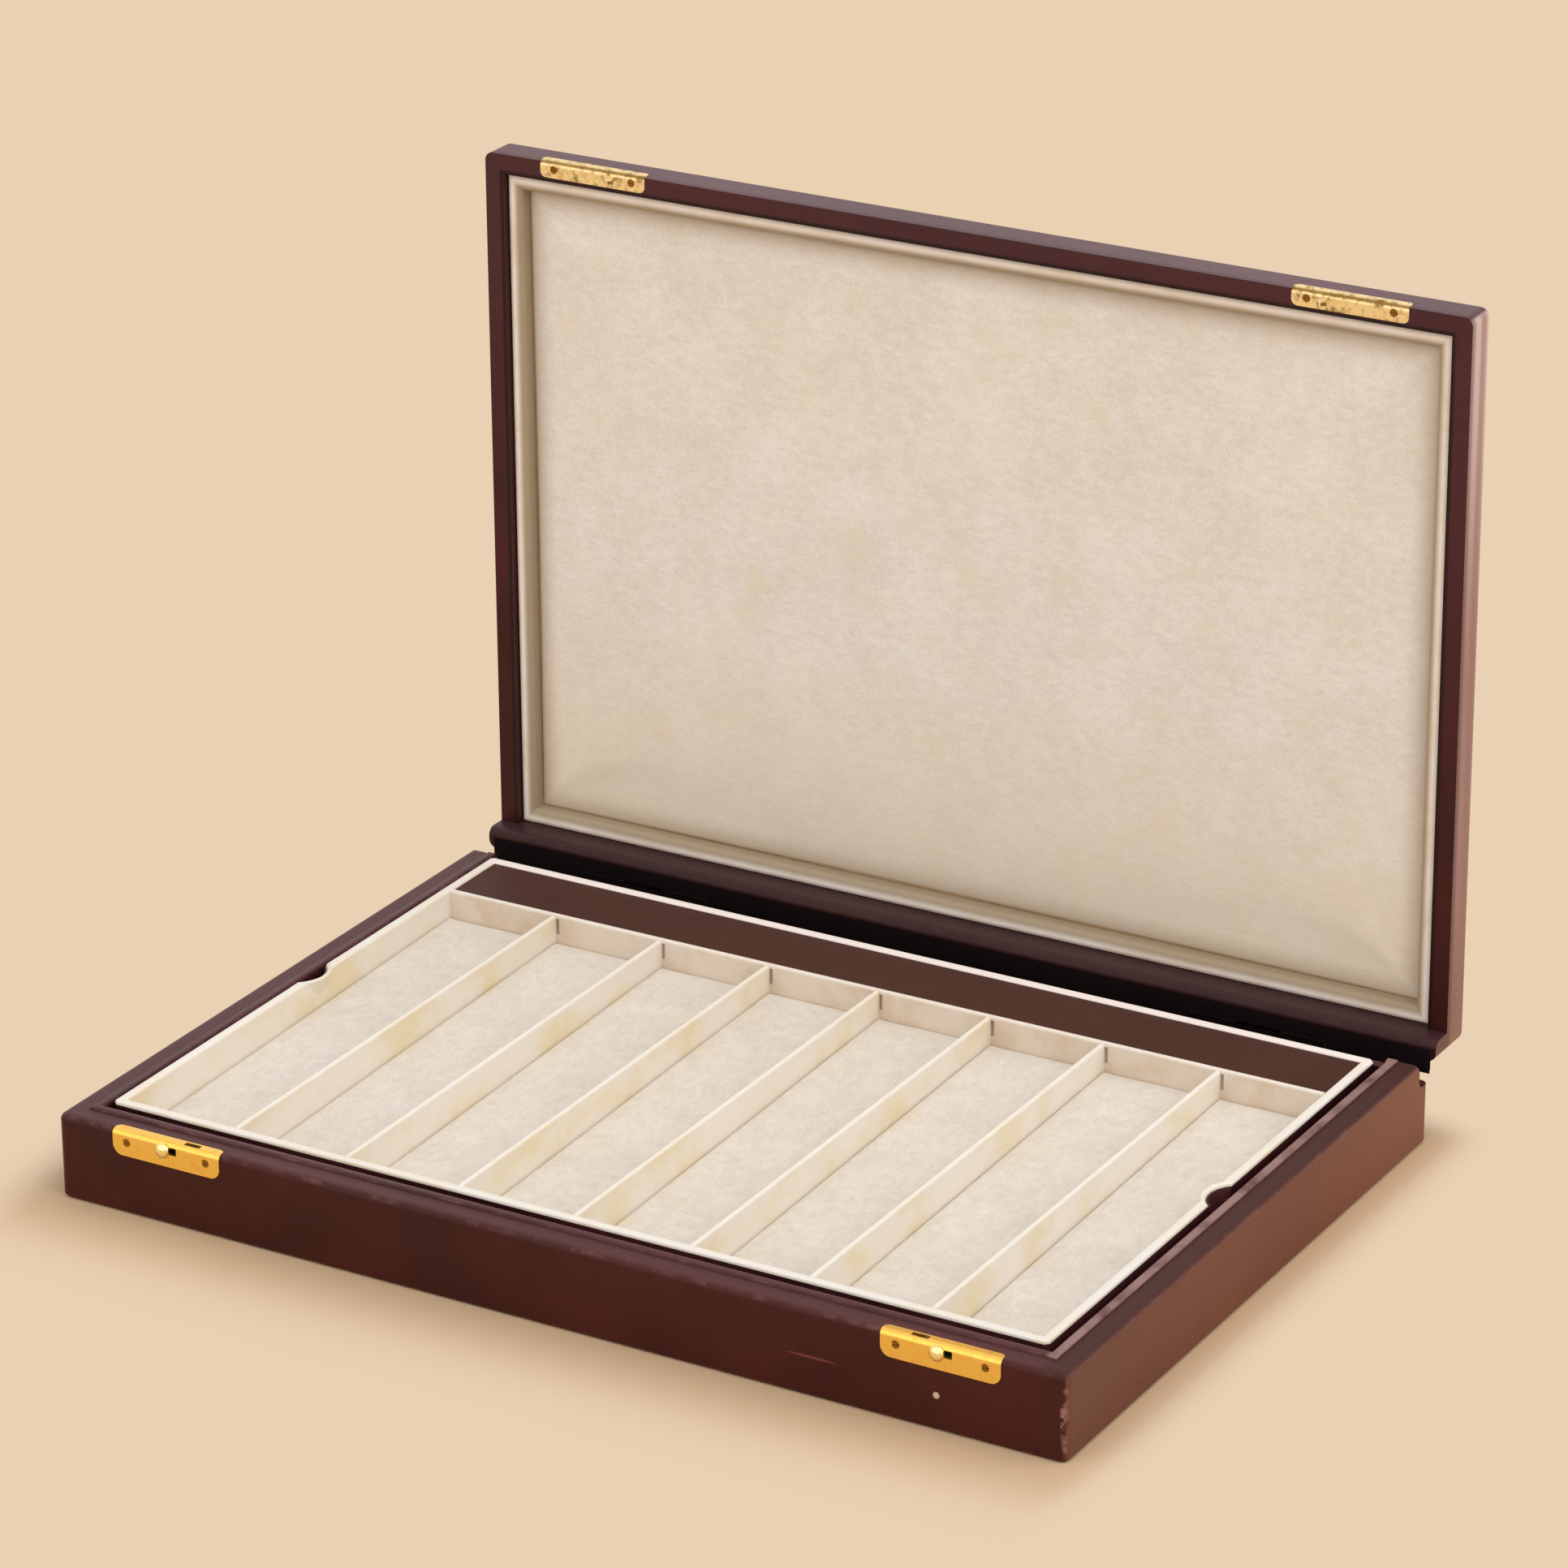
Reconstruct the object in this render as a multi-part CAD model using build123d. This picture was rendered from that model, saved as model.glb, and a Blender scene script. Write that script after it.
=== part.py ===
# Watch display tray: a flat leather-covered case whose lid stands open on two stop hinges,
# with a lift-out tray of eight lined compartments. Millimetres, +Z up, front towards -Y,
# origin at the centre of the underside. The lid is drawn shut and then swung open.
from build123d import *
import os
from math import atan2, cos, degrees, hypot, radians, sin, sqrt

# Case
BOX_WIDTH = 370.0
BOX_DEPTH = 256.0
BASE_HEIGHT = 30.0
LID_HEIGHT = 14.0
WALL = 7.5
LEATHER = 1.0
LINING = 1.0
BOARD = 3.0
SEAM = 0.1
CORNER_RADIUS = 3.0
EDGE_RADIUS = 2.4
FOOT_BEVEL = 1.2
TURN_IN = 12.0
REAR_WALL_TOP = 21.5
STEP_RADIUS = 3.0
STEP_BOARD_FILL = 2.3

# Collar round the well
COLLAR_THICKNESS = 3.6
COLLAR_RISE = 1.0
COLLAR_ROUND = 1.3
COLLAR_REAR_DROP = 2.5
BOARD_CORNER = 1.2
BOARD_ARRIS = 0.8

# Lid
LID_INNER_GAP = 0.5
BAR_GAP = 0.3
BAR_EDGE_RADIUS = 3.0
BAR_BOARD_CUT = 1.2
LID_BACKING = 2.0
LID_CEILING = 40.0
FRAME_WIDTH = 5.8
FRAME_CROWN = 32.2
FRAME_ROUND = 2.3
PANEL_GAP = 0.3
PANEL_CROWN = 35.6

# Tray
TRAY_WIDTH = 343.8
TRAY_DEPTH = 229.4
TRAY_TOP = 31.5
TRAY_SHIFT_X = -1.0
TRAY_SHIFT_Y = 0.9
TRAY_CORNER = 1.3
TRAY_BAND = 0.8
TRAY_BAND_DROP = 1.2
TRAY_WALL = 3.4
TRAY_RIM_ROUND = 1.0
LEDGE_FRONT = 83.0
LEDGE_WALL = 2.4
LEDGE_BOARD = 2.2
LEDGE_RECESS = 0.8
LEDGE_LEATHER = 0.8
COMPARTMENTS = 8
DIVIDER = 2.0
DIVIDER_DROP = 0.3
DIVIDER_ROUND = 0.9
DIVIDER_PITCH = 42.75
FIRST_DIVIDER = -127.9
SLIT_WIDTH = 1.3
SLIT_REACH = 1.6
SLIT_LOW = 24.2
SLIT_HIGH = 30.2
PAD_FRONT_TOP = 18.8
PAD_REAR_TOP = 23.0
PAD_THICKNESS = 2.5
PAD_GAP = 0.15
PAD_PULL = 0.35
PAD_SHOULDER = 0.85
PAD_SHOULDER_INSET = 0.5
PAD_CROWN_INSET = 2.2
FLOOR_THICKNESS = 2.0
FLOOR_FOOT = 6.0

# Finger scoops in the tray's side walls
SCOOP_Y = 2.0
SCOOP_RADIUS = 11.6
SCOOP_DEPTH = 4.3
SCOOP_SHELL = 1.6
SCOOP_LINING = 0.6
SCOOP_TAPER = 4.0
SCOOP_FOOT = 20.0
SCOOP_HALF_LENGTH = 14.0
SCOOP_RIM_BEVEL = 0.6
SAME_PLACE = 0.1

# Sliding latches in the front wall
LATCH_X = 142.0
PLATE_WIDTH = 41.5
PLATE_THICKNESS = 1.0
PLATE_PROUD = 0.4
PLATE_DROP = 8.8
PLATE_REACH = 4.0
PLATE_BEND = 2.0
PLATE_CORNER = 3.6
PLATE_INNER_CORNER = 2.0
CATCH_DROP = 3.8
CATCH_REACH = 6.0
CATCH_CORNER = 1.4
CATCH_INNER_CORNER = 2.2
LATCH_TRAVEL = 2.0
KNOB_OFFSET = -0.8
KNOB_Z = 27.0
KNOB_RADIUS = 2.6
KNOB_HEIGHT = 2.2
KNOB_BEVEL = 1.3
KNOB_GAP = 0.15
NECK_HALF = 1.2
NECK_CLEARANCE = 0.1
NECK_GRIP = 1.2
SLOT_SPARE = 1.6
CASE_WALL = 0.6
CASE_FRONT_WALL = 0.5
CASE_LEFT = 10.8
CASE_RIGHT = 14.0
CASE_BOTTOM = 17.0
CASE_DEPTH = 5.4
SLIDER_CLEARANCE = 0.1
SLIDER_LEFT = 10.0
SLIDER_RIGHT = 11.2
SLIDER_BOTTOM = 22.3
SLIDER_THICKNESS = 2.5
LUG_X = -3.0
LUG_WIDTH = 1.2
LUG_BOTTOM = 18.0
RIB_X = 8.0
RIB_TOP = 22.2
SPRING_THICKNESS = 0.3
SPRING_BOW = 1.3
SPRING_LOW = 18.4
SPRING_HIGH = 21.8

# Hooks on the lid that enter the latches
HOOK_OFFSET = 8.6
HOOK_HALF = 0.9
HOOK_THICKNESS = 1.2
HOOK_SETBACK = 1.7
HOOK_TIP = 24.6
BARB_TOP = 26.0
BARB_REACH = 2.4
BARB_GAP = 0.2
HOOK_STEM = 3.0
HOOK_SLOT = 6.0
HOOK_SLOT_DEPTH = 1.8
TAB_REACH = 2.6
TAB_GAP = 0.2

# Stop hinges
HINGE_X = 120.0
HINGE_LENGTH = 50.0
HINGE_BACK = 4.8
LEAF_THICKNESS = 1.4
LEAF_INSET = 6.0
LEAF_CLEARANCE = 0.3
KNUCKLES = 3
KNUCKLE_RADIUS = 3.0
KNUCKLE_GAP = 0.3
PIN_RADIUS = 1.2
PIN_CLEARANCE = 0.05
HEEL_INNER = 3.1
HEEL_OUTER = 5.0
HEEL_ROOT = 2.2
HEEL_SPAN = 44.2
HEEL_LID_START = 45.0
HEEL_BASE_START = -90.0

# Joint strip
JOINT_THICKNESS = 0.4
JOINT_END = 2.0
JOINT_OVERHANG = 3.3
JOINT_NOTCH_GAP = 0.5

# Screws
SCREW_HEAD = 1.5
SCREW_SHANK = 0.9
SCREW_LENGTH = 6.0
SCREW_SLOT = 0.4
SCREW_SLOT_DEPTH = 0.3
SCREW_SIDES = 8
LATCH_SCREW_X = 15.4
LATCH_SCREW_Z = 26.0
CATCH_SCREW_Y = 3.0
HINGE_SCREW_OFFSET = 14.0

# Places worked out from the sizes
SIDE = BOX_WIDTH / 2
REAR = BOX_DEPTH / 2
FRONT = -REAR
WELL_X = SIDE - WALL
WELL_Y = REAR - WALL
BOARD_TOP = LEATHER + BOARD
WELL_FLOOR = BOARD_TOP + LINING
LID_BOTTOM = BASE_HEIGHT + SEAM
LID_TOP = LID_BOTTOM + LID_HEIGHT
LID_INNER_X = WELL_X + LID_INNER_GAP
LID_INNER_FRONT = -WELL_Y - LID_INNER_GAP
BAR_BOTTOM = REAR_WALL_TOP + SEAM
BAR_INNER = WELL_Y + BAR_GAP
HINGE_Y = REAR + HINGE_BACK
HINGE_Z = REAR_WALL_TOP + SEAM / 2
JOINT_HALF = SIDE - JOINT_END
JOINT_FRONT = BAR_INNER + BAR_EDGE_RADIUS + SEAM
JOINT_REAR = REAR + JOINT_OVERHANG
PLATE_FRONT = FRONT - PLATE_PROUD
PLATE_BACK = PLATE_FRONT + PLATE_THICKNESS
CASE_BACK = PLATE_BACK + CASE_DEPTH
CASE_TOP = BASE_HEIGHT - PLATE_THICKNESS
SLIDER_BACK = CASE_BACK - CASE_WALL - SLIDER_CLEARANCE
SLIDER_FRONT = SLIDER_BACK - SLIDER_THICKNESS
SLIDER_TOP = CASE_TOP - CASE_WALL - SLIDER_CLEARANCE
HOOK_FRONT = PLATE_FRONT + HOOK_SETBACK
HOOK_BACK = HOOK_FRONT + HOOK_THICKNESS
TRAY_LEFT = TRAY_SHIFT_X - TRAY_WIDTH / 2
TRAY_RIGHT = TRAY_SHIFT_X + TRAY_WIDTH / 2
TRAY_FRONT = TRAY_SHIFT_Y - TRAY_DEPTH / 2
TRAY_REAR = TRAY_SHIFT_Y + TRAY_DEPTH / 2
TRAY_BOTTOM = WELL_FLOOR
TRAY_BOARD_TOP = TRAY_BOTTOM + BOARD
ROOM_FRONT = TRAY_FRONT + TRAY_WALL
DIVIDER_TOP = TRAY_TOP - DIVIDER_DROP
FLOOR_FRONT_TOP = PAD_FRONT_TOP - PAD_THICKNESS
FLOOR_REAR_TOP = PAD_REAR_TOP - PAD_THICKNESS
ROOM_LEFT = TRAY_LEFT + TRAY_WALL
ROOM_RIGHT = TRAY_RIGHT - TRAY_WALL
CLEAR = 2 * BOX_WIDTH

nodes = {}


# Small makers
def block(x0, x1, y0, y1, z0, z1):
    """A box between two opposite corners."""
    middle = Pos((x0 + x1) / 2, (y0 + y1) / 2, (z0 + z1) / 2)
    return middle * Box(x1 - x0, y1 - y0, z1 - z0)


def slab(width, depth, z0, z1, radius):
    """A level plate with rounded upright corners, centred on the case."""
    return Pos(0, 0, z0) * extrude(RectangleRounded(width, depth, radius), z1 - z0)


def rim(half_x, half_y, thickness, z0, z1):
    """A square-cornered frame of upright walls, centred on the case."""
    outer = block(-half_x, half_x, -half_y, half_y, z0, z1)
    inner_x = half_x - thickness
    inner_y = half_y - thickness
    return outer - block(-inner_x, inner_x, -inner_y, inner_y, z0, z1)


def cut_slab(width, depth, z0, z1, cut):
    """A level plate with its upright corners cut off, centred on the case."""
    plate = block(-width / 2, width / 2, -depth / 2, depth / 2, z0, z1)
    return chamfer(plate.edges().filter_by(Axis.Z), cut)


def prism_along_x(points, x0, x1):
    """A solid with one outline of (y, z) points from x0 to x1."""
    outline = Polyline([(x0, y, z) for y, z in points], close=True)
    return extrude(make_face(outline), x1 - x0, dir=(1, 0, 0))


def prism_along_y(points, y0, y1):
    """A solid with one outline of (x, z) points from y0 to y1."""
    outline = Polyline([(x, y0, z) for x, z in points], close=True)
    return extrude(make_face(outline), y1 - y0, dir=(0, 1, 0))


def rod_along_x(x0, x1, y, z, radius):
    """A round bar from x0 to x1."""
    return Pos((x0 + x1) / 2, y, z) * Rot(0, 90, 0) * Cylinder(radius, x1 - x0)


def rod_along_y(x, y0, y1, z, radius):
    """A round bar from y0 to y1."""
    return Pos(x, (y0 + y1) / 2, z) * Rot(90, 0, 0) * Cylinder(radius, y1 - y0)


def top_edges(shape):
    """The edges of the highest level face."""
    return shape.faces().sort_by(Axis.Z)[-1].edges()


def bottom_edges(shape):
    """The edges of the lowest level face."""
    return shape.faces().sort_by(Axis.Z)[0].edges()


def swing_open(shape):
    """Turns a piece of the shut lid by a right angle about the hinge axis, to the open lid."""
    return Pos(0, HINGE_Y, HINGE_Z) * Rot(-90, 0, 0) * Pos(0, -HINGE_Y, -HINGE_Z) * shape


# Screws: a countersunk head with its face at the origin, and a shank along -Z
def screw_blank():
    """The whole room that a screw takes up."""
    head_depth = SCREW_HEAD - SCREW_SHANK
    face = RegularPolygon(SCREW_HEAD, SCREW_SIDES)
    neck = RegularPolygon(SCREW_SHANK, SCREW_SIDES)
    head = loft([Pos(0, 0, -head_depth) * neck, face], ruled=True)
    shank = Pos(0, 0, -SCREW_LENGTH) * extrude(neck, SCREW_LENGTH - head_depth)
    return head + shank


def screw(place):
    """A slotted screw at a place."""
    slot = Box(2 * SCREW_HEAD, SCREW_SLOT, 2 * SCREW_SLOT_DEPTH)
    return place * (screw_blank() - slot)


FACING_UP = Rot(0, 0, 0)
FACING_DOWN = Rot(180, 0, 0)
FACING_FRONT = Rot(90, 0, 0)


# Sliding latch: an L-shaped plate, a case let into the front wall, a slider with its tab and knob,
# and a bowed leaf spring that holds the slider towards -X
def edge_plate(centre, reach, drop, corner, inner_corner):
    """A plate bent over the front edge of the base, with both ends of each flap rounded."""
    left = centre - PLATE_WIDTH / 2
    right = centre + PLATE_WIDTH / 2
    back = PLATE_FRONT + reach
    low = BASE_HEIGHT - drop
    outer = block(left, right, PLATE_FRONT, back, low, BASE_HEIGHT)
    outer = fillet(outer.edges().filter_by(Axis.X).group_by(Axis.Y)[0].sort_by(Axis.Z)[-1], PLATE_BEND)
    inner = block(left, right, PLATE_BACK, REAR, -REAR, CASE_TOP)
    inner_edge = inner.edges().filter_by(Axis.X).group_by(Axis.Y)[0].sort_by(Axis.Z)[-1]
    inner = fillet(inner_edge, PLATE_BEND - PLATE_THICKNESS)
    plate = outer - inner
    plate = fillet(plate.edges().filter_by(Axis.Y).group_by(Axis.Z)[0], corner)
    return fillet(plate.edges().filter_by(Axis.Z).group_by(Axis.Y)[-1], inner_corner)


def latch_plate_block(centre):
    """The room that a latch plate takes up on the base's front edge."""
    return edge_plate(centre, PLATE_REACH, PLATE_DROP, PLATE_CORNER, PLATE_INNER_CORNER)


def latch_screw_places(centre):
    """Where the two screws of a latch plate go."""
    return [
        Pos(centre + side * LATCH_SCREW_X, PLATE_FRONT, LATCH_SCREW_Z) * FACING_FRONT
        for side in (-1, 1)
    ]


def catch_screw_places(centre):
    """Where the two screws of a catch plate go."""
    return [
        Pos(centre + side * LATCH_SCREW_X, PLATE_FRONT + CATCH_SCREW_Y, LID_BOTTOM) * FACING_DOWN
        for side in (-1, 1)
    ]


def hook_slot(hook_x):
    """The slot that the lid's hook drops into."""
    start = hook_x + (BARB_REACH - HOOK_HALF) / 2 - HOOK_SLOT / 2
    middle = (HOOK_FRONT + HOOK_BACK) / 2
    half = HOOK_SLOT_DEPTH / 2
    return block(start, start + HOOK_SLOT, middle - half, middle + half, SLIDER_TOP, 2 * BASE_HEIGHT)


def knob_slot(knob_x):
    """The long slot that the knob's square neck slides in."""
    half = NECK_HALF + NECK_CLEARANCE
    end = knob_x + LATCH_TRAVEL + SLOT_SPARE + half
    inner_y = PLATE_BACK + CASE_FRONT_WALL + CASE_WALL
    return block(knob_x - half, end, 2 * FRONT, inner_y, KNOB_Z - half, KNOB_Z + half)


def latch_case_block(centre):
    """The room that the latch case takes up in the front wall."""
    left = centre - CASE_LEFT
    right = centre + CASE_RIGHT
    body = block(left, right, PLATE_BACK, CASE_BACK, CASE_BOTTOM, CASE_TOP)
    bend_edge = body.edges().filter_by(Axis.X).group_by(Axis.Y)[0].sort_by(Axis.Z)[-1]
    return fillet(bend_edge, PLATE_BEND - PLATE_THICKNESS)


def latch_plate(centre, hook_x):
    """The plate on the front edge, with its two slots and screw holes."""
    plate = latch_plate_block(centre) - hook_slot(hook_x) - knob_slot(centre + KNOB_OFFSET)
    for place in latch_screw_places(centre):
        plate = plate - place * screw_blank()
    return plate


def latch_case(centre, hook_x):
    """A box open at its two slots, with a rib for the spring's fixed end."""
    room_front = PLATE_BACK + CASE_FRONT_WALL
    room_back = CASE_BACK - CASE_WALL
    room_left = centre - CASE_LEFT + CASE_WALL
    room_right = centre + CASE_RIGHT - CASE_WALL
    room_floor = CASE_BOTTOM + CASE_WALL
    room = block(room_left, room_right, room_front, room_back, room_floor, CASE_TOP - CASE_WALL)
    rib_left = centre + RIB_X
    rib = block(rib_left, rib_left + CASE_WALL, room_front, room_back, room_floor, RIB_TOP)
    body = latch_case_block(centre) - room + rib
    return body - hook_slot(hook_x) - knob_slot(centre + KNOB_OFFSET)


def knob_neck(centre):
    """The square neck that joins the knob to the slider and keeps it from turning."""
    left = centre + KNOB_OFFSET - NECK_HALF
    right = centre + KNOB_OFFSET + NECK_HALF
    front = PLATE_FRONT - KNOB_GAP
    back = SLIDER_FRONT + NECK_GRIP
    return block(left, right, front, back, KNOB_Z - NECK_HALF, KNOB_Z + NECK_HALF)


def latch_knob(centre):
    """A bevelled button on its neck."""
    knob_x = centre + KNOB_OFFSET
    back = PLATE_FRONT - KNOB_GAP
    button = rod_along_y(knob_x, back - KNOB_HEIGHT, back, KNOB_Z, KNOB_RADIUS)
    dome_edge = button.edges().filter_by(GeomType.CIRCLE).sort_by(Axis.Y)[0]
    return chamfer(dome_edge, KNOB_BEVEL) + knob_neck(centre)


def latch_slider(centre, hook_x):
    """The sliding bar, with a lug for the spring and a tab over the hook's barb."""
    left = centre - SLIDER_LEFT
    right = centre + SLIDER_RIGHT
    bar = block(left, right, SLIDER_FRONT, SLIDER_BACK, SLIDER_BOTTOM, SLIDER_TOP)
    lug_left = centre + LUG_X
    lug = block(lug_left, lug_left + LUG_WIDTH, SLIDER_FRONT, SLIDER_BACK, LUG_BOTTOM, SLIDER_BOTTOM)
    tab_left = hook_x + HOOK_HALF + TAB_GAP
    tab_right = hook_x + TAB_REACH
    tab = block(tab_left, tab_right, HOOK_FRONT, SLIDER_FRONT, BARB_TOP + BARB_GAP, SLIDER_TOP)
    return bar + lug + tab - knob_neck(centre)


def latch_spring(centre):
    """A leaf bowed between the slider's lug and the rib of the case."""
    start = centre + LUG_X + LUG_WIDTH
    end = centre + RIB_X
    middle = (start + end) / 2
    near = (SLIDER_FRONT + SLIDER_BACK) / 2
    far = near + SPRING_THICKNESS
    low = SPRING_LOW
    inner = ThreePointArc((start, near, low), (middle, near - SPRING_BOW, low), (end, near, low))
    outer = ThreePointArc((start, far, low), (middle, far - SPRING_BOW, low), (end, far, low))
    first_end = Line(inner @ 0, outer @ 0)
    last_end = Line(inner @ 1, outer @ 1)
    return extrude(make_face([inner, last_end, outer, first_end]), SPRING_HIGH - SPRING_LOW, dir=(0, 0, 1))


def catch_plate(centre, hook_x):
    """The matching plate on the lid's rim, drawn with the lid shut."""
    plate = catch_plate_block(centre)
    for place in catch_screw_places(centre):
        plate = plate - place * screw_blank()
    return plate - catch_hook(hook_x)


def catch_plate_block(centre):
    """The room that a catch plate takes up in the lid's rim."""
    plate = edge_plate(centre, CATCH_REACH, CATCH_DROP, CATCH_CORNER, CATCH_INNER_CORNER)
    return mirror(plate, about=Plane.XY.offset(BASE_HEIGHT + SEAM / 2))


def catch_bend_edge(centre):
    """What the lid's square edge has outside the rounded bend of a catch plate."""
    left = centre - PLATE_WIDTH / 2
    right = centre + PLATE_WIDTH / 2
    bend_y = PLATE_FRONT + PLATE_BEND
    bend_z = LID_BOTTOM + PLATE_BEND
    square = block(left, right, PLATE_FRONT, bend_y, LID_BOTTOM, bend_z)
    return square - rod_along_x(left, right, bend_y, bend_z, PLATE_BEND)


def catch_hook(hook_x):
    """A tongue with a barb towards +X, riveted up through the catch plate."""
    outline = [
        (hook_x - HOOK_HALF, LID_BOTTOM + HOOK_STEM),
        (hook_x - HOOK_HALF, HOOK_TIP + HOOK_HALF),
        (hook_x, HOOK_TIP),
        (hook_x + HOOK_HALF, HOOK_TIP),
        (hook_x + BARB_REACH, BARB_TOP - BARB_GAP),
        (hook_x + BARB_REACH, BARB_TOP),
        (hook_x + HOOK_HALF, BARB_TOP),
        (hook_x + HOOK_HALF, LID_BOTTOM + HOOK_STEM),
    ]
    return prism_along_y(outline, HOOK_FRONT, HOOK_BACK)


# Stop hinge: two leaves with interleaved knuckles on a pin, and a heel on each leaf past the
# barrel. The heels meet when the lid is upright and carry it there.
def hinge_point(x, radius, angle):
    """A point round the hinge axis, the angle being measured from the rear upwards."""
    return (x, HINGE_Y + radius * cos(radians(angle)), HINGE_Z + radius * sin(radians(angle)))


def sector(inner, outer, start, span, x0, x1):
    """Part of a ring round the hinge axis."""
    half_way = start + span / 2
    end = start + span
    near_arc = ThreePointArc(*[hinge_point(x0, inner, angle) for angle in (start, half_way, end)])
    far_arc = ThreePointArc(*[hinge_point(x0, outer, angle) for angle in (start, half_way, end)])
    first_side = Line(near_arc @ 0, far_arc @ 0)
    last_side = Line(near_arc @ 1, far_arc @ 1)
    return extrude(make_face([near_arc, last_side, far_arc, first_side]), x1 - x0, dir=(1, 0, 0))


def knuckle_spans(centre, first):
    """The x ranges of every other knuckle, beginning with the one numbered first."""
    pitch = HINGE_LENGTH / KNUCKLES
    start = centre - HINGE_LENGTH / 2
    return [
        (start + index * pitch + KNUCKLE_GAP / 2, start + (index + 1) * pitch - KNUCKLE_GAP / 2)
        for index in range(first, KNUCKLES, 2)
    ]


def leaf_blank(centre, low, high):
    """The flat of a leaf, up to where the knuckles turn."""
    back = HINGE_Y - KNUCKLE_RADIUS - LEAF_CLEARANCE
    front = REAR - LEAF_INSET
    return block(centre - HINGE_LENGTH / 2, centre + HINGE_LENGTH / 2, front, back, low, high)


def hinge_leaf(centre, low, high, first, heel_start):
    """A leaf with its knuckles and its heel."""
    leaf = leaf_blank(centre, low, high)
    flat_back = HINGE_Y - KNUCKLE_RADIUS - LEAF_CLEARANCE
    for x0, x1 in knuckle_spans(centre, first):
        leaf = leaf + block(x0, x1, flat_back, HINGE_Y, low, high)
        leaf = leaf + rod_along_x(x0, x1, HINGE_Y, HINGE_Z, KNUCKLE_RADIUS)
        leaf = leaf + sector(HEEL_ROOT, HEEL_OUTER, heel_start, HEEL_SPAN, x0, x1)
    x_start = centre - HINGE_LENGTH / 2
    x_end = centre + HINGE_LENGTH / 2
    leaf = leaf + sector(HEEL_INNER, HEEL_OUTER, heel_start, HEEL_SPAN, x_start, x_end)
    return leaf - rod_along_x(-CLEAR, CLEAR, HINGE_Y, HINGE_Z, PIN_RADIUS + PIN_CLEARANCE)


def hinge_screw_places(centre, height, facing):
    """Two screws in a row along a leaf."""
    front = REAR - LEAF_INSET
    back = REAR - LEATHER
    return [
        Pos(centre + side * HINGE_SCREW_OFFSET, (front + back) / 2, height) * facing
        for side in (-1, 1)
    ]


# Base: leather over a carcase of boards, with a step along the rear for the lid's deep wall
def base_block(inset):
    """The base without its hollow, every outer face drawn in by inset. Under the leather the
    boards have cut corners in place of rounded ones."""
    width = BOX_WIDTH - 2 * inset
    depth = BOX_DEPTH - 2 * inset
    top = BASE_HEIGHT - inset
    step = block(-CLEAR, CLEAR, WELL_Y - inset, CLEAR, REAR_WALL_TOP - inset, CLEAR)
    step_corner = step.edges().filter_by(Axis.X).group_by(Axis.Y)[0].sort_by(Axis.Z)[0]
    if inset:
        boards = cut_slab(width, depth, inset, top, BOARD_CORNER)
        boards = chamfer(top_edges(boards), BOARD_ARRIS)
        return boards - chamfer(step_corner, STEP_BOARD_FILL)
    body = slab(width, depth, 0, top, CORNER_RADIUS)
    body = fillet(top_edges(body), EDGE_RADIUS)
    body = chamfer(bottom_edges(body), FOOT_BEVEL)
    return body - fillet(step_corner, STEP_RADIUS)


LATCHES = {
    "left": (-LATCH_X, -LATCH_X + HOOK_OFFSET),
    "right": (LATCH_X, LATCH_X - HOOK_OFFSET),
}
HINGES = {"left": -HINGE_X, "right": HINGE_X}

base_well = block(-WELL_X, WELL_X, -WELL_Y, WELL_Y, LEATHER, CLEAR)
underside = block(TURN_IN - SIDE, SIDE - TURN_IN, TURN_IN - REAR, REAR - TURN_IN, 0, LEATHER)
base_cover = base_block(0) - base_block(LEATHER) - base_well - underside
base_carcase = base_block(LEATHER) - base_well
latch_screws = []
for side, (centre, hook_x) in LATCHES.items():
    plate_room = latch_plate_block(centre)
    case_room = latch_case_block(centre)
    base_cover = base_cover - plate_room - case_room
    base_carcase = base_carcase - case_room
    for place in latch_screw_places(centre):
        base_cover = base_cover - place * screw_blank()
        base_carcase = base_carcase - place * screw_blank()
        latch_screws.append(screw(place))
    nodes["latch_plate_" + side] = latch_plate(centre, hook_x)
    nodes["latch_case_" + side] = latch_case(centre, hook_x)
    nodes["latch_slider_" + side] = latch_slider(centre, hook_x)
    nodes["latch_knob_" + side] = latch_knob(centre)
    nodes["latch_spring_" + side] = latch_spring(centre)

hinge_base_screws = []
for side, centre in HINGES.items():
    high = REAR_WALL_TOP - LEATHER
    low = high - LEAF_THICKNESS
    leaf_room = block(
        centre - HINGE_LENGTH / 2, centre + HINGE_LENGTH / 2, REAR - LEAF_INSET, CLEAR, low, high
    )
    base_cover = base_cover - leaf_room
    base_carcase = base_carcase - leaf_room
    leaf = hinge_leaf(centre, low, high, 0, HEEL_BASE_START)
    for place in hinge_screw_places(centre, high, FACING_UP):
        base_carcase = base_carcase - place * screw_blank()
        leaf = leaf - place * screw_blank()
        hinge_base_screws.append(screw(place))
    nodes["hinge_base_leaf_" + side] = leaf
    pin_end = HINGE_LENGTH / 2
    nodes["hinge_pin_" + side] = rod_along_x(centre - pin_end, centre + pin_end, HINGE_Y, HINGE_Z, PIN_RADIUS)

nodes["base_cover"] = base_cover
nodes["base_carcase"] = base_carcase
nodes["base_underside_cover"] = underside
nodes["base_bottom_board"] = block(-WELL_X, WELL_X, -WELL_Y, WELL_Y, LEATHER, BOARD_TOP)
nodes["latch_screws"] = Compound(latch_screws)
nodes["hinge_base_screws"] = Compound(hinge_base_screws)

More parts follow.
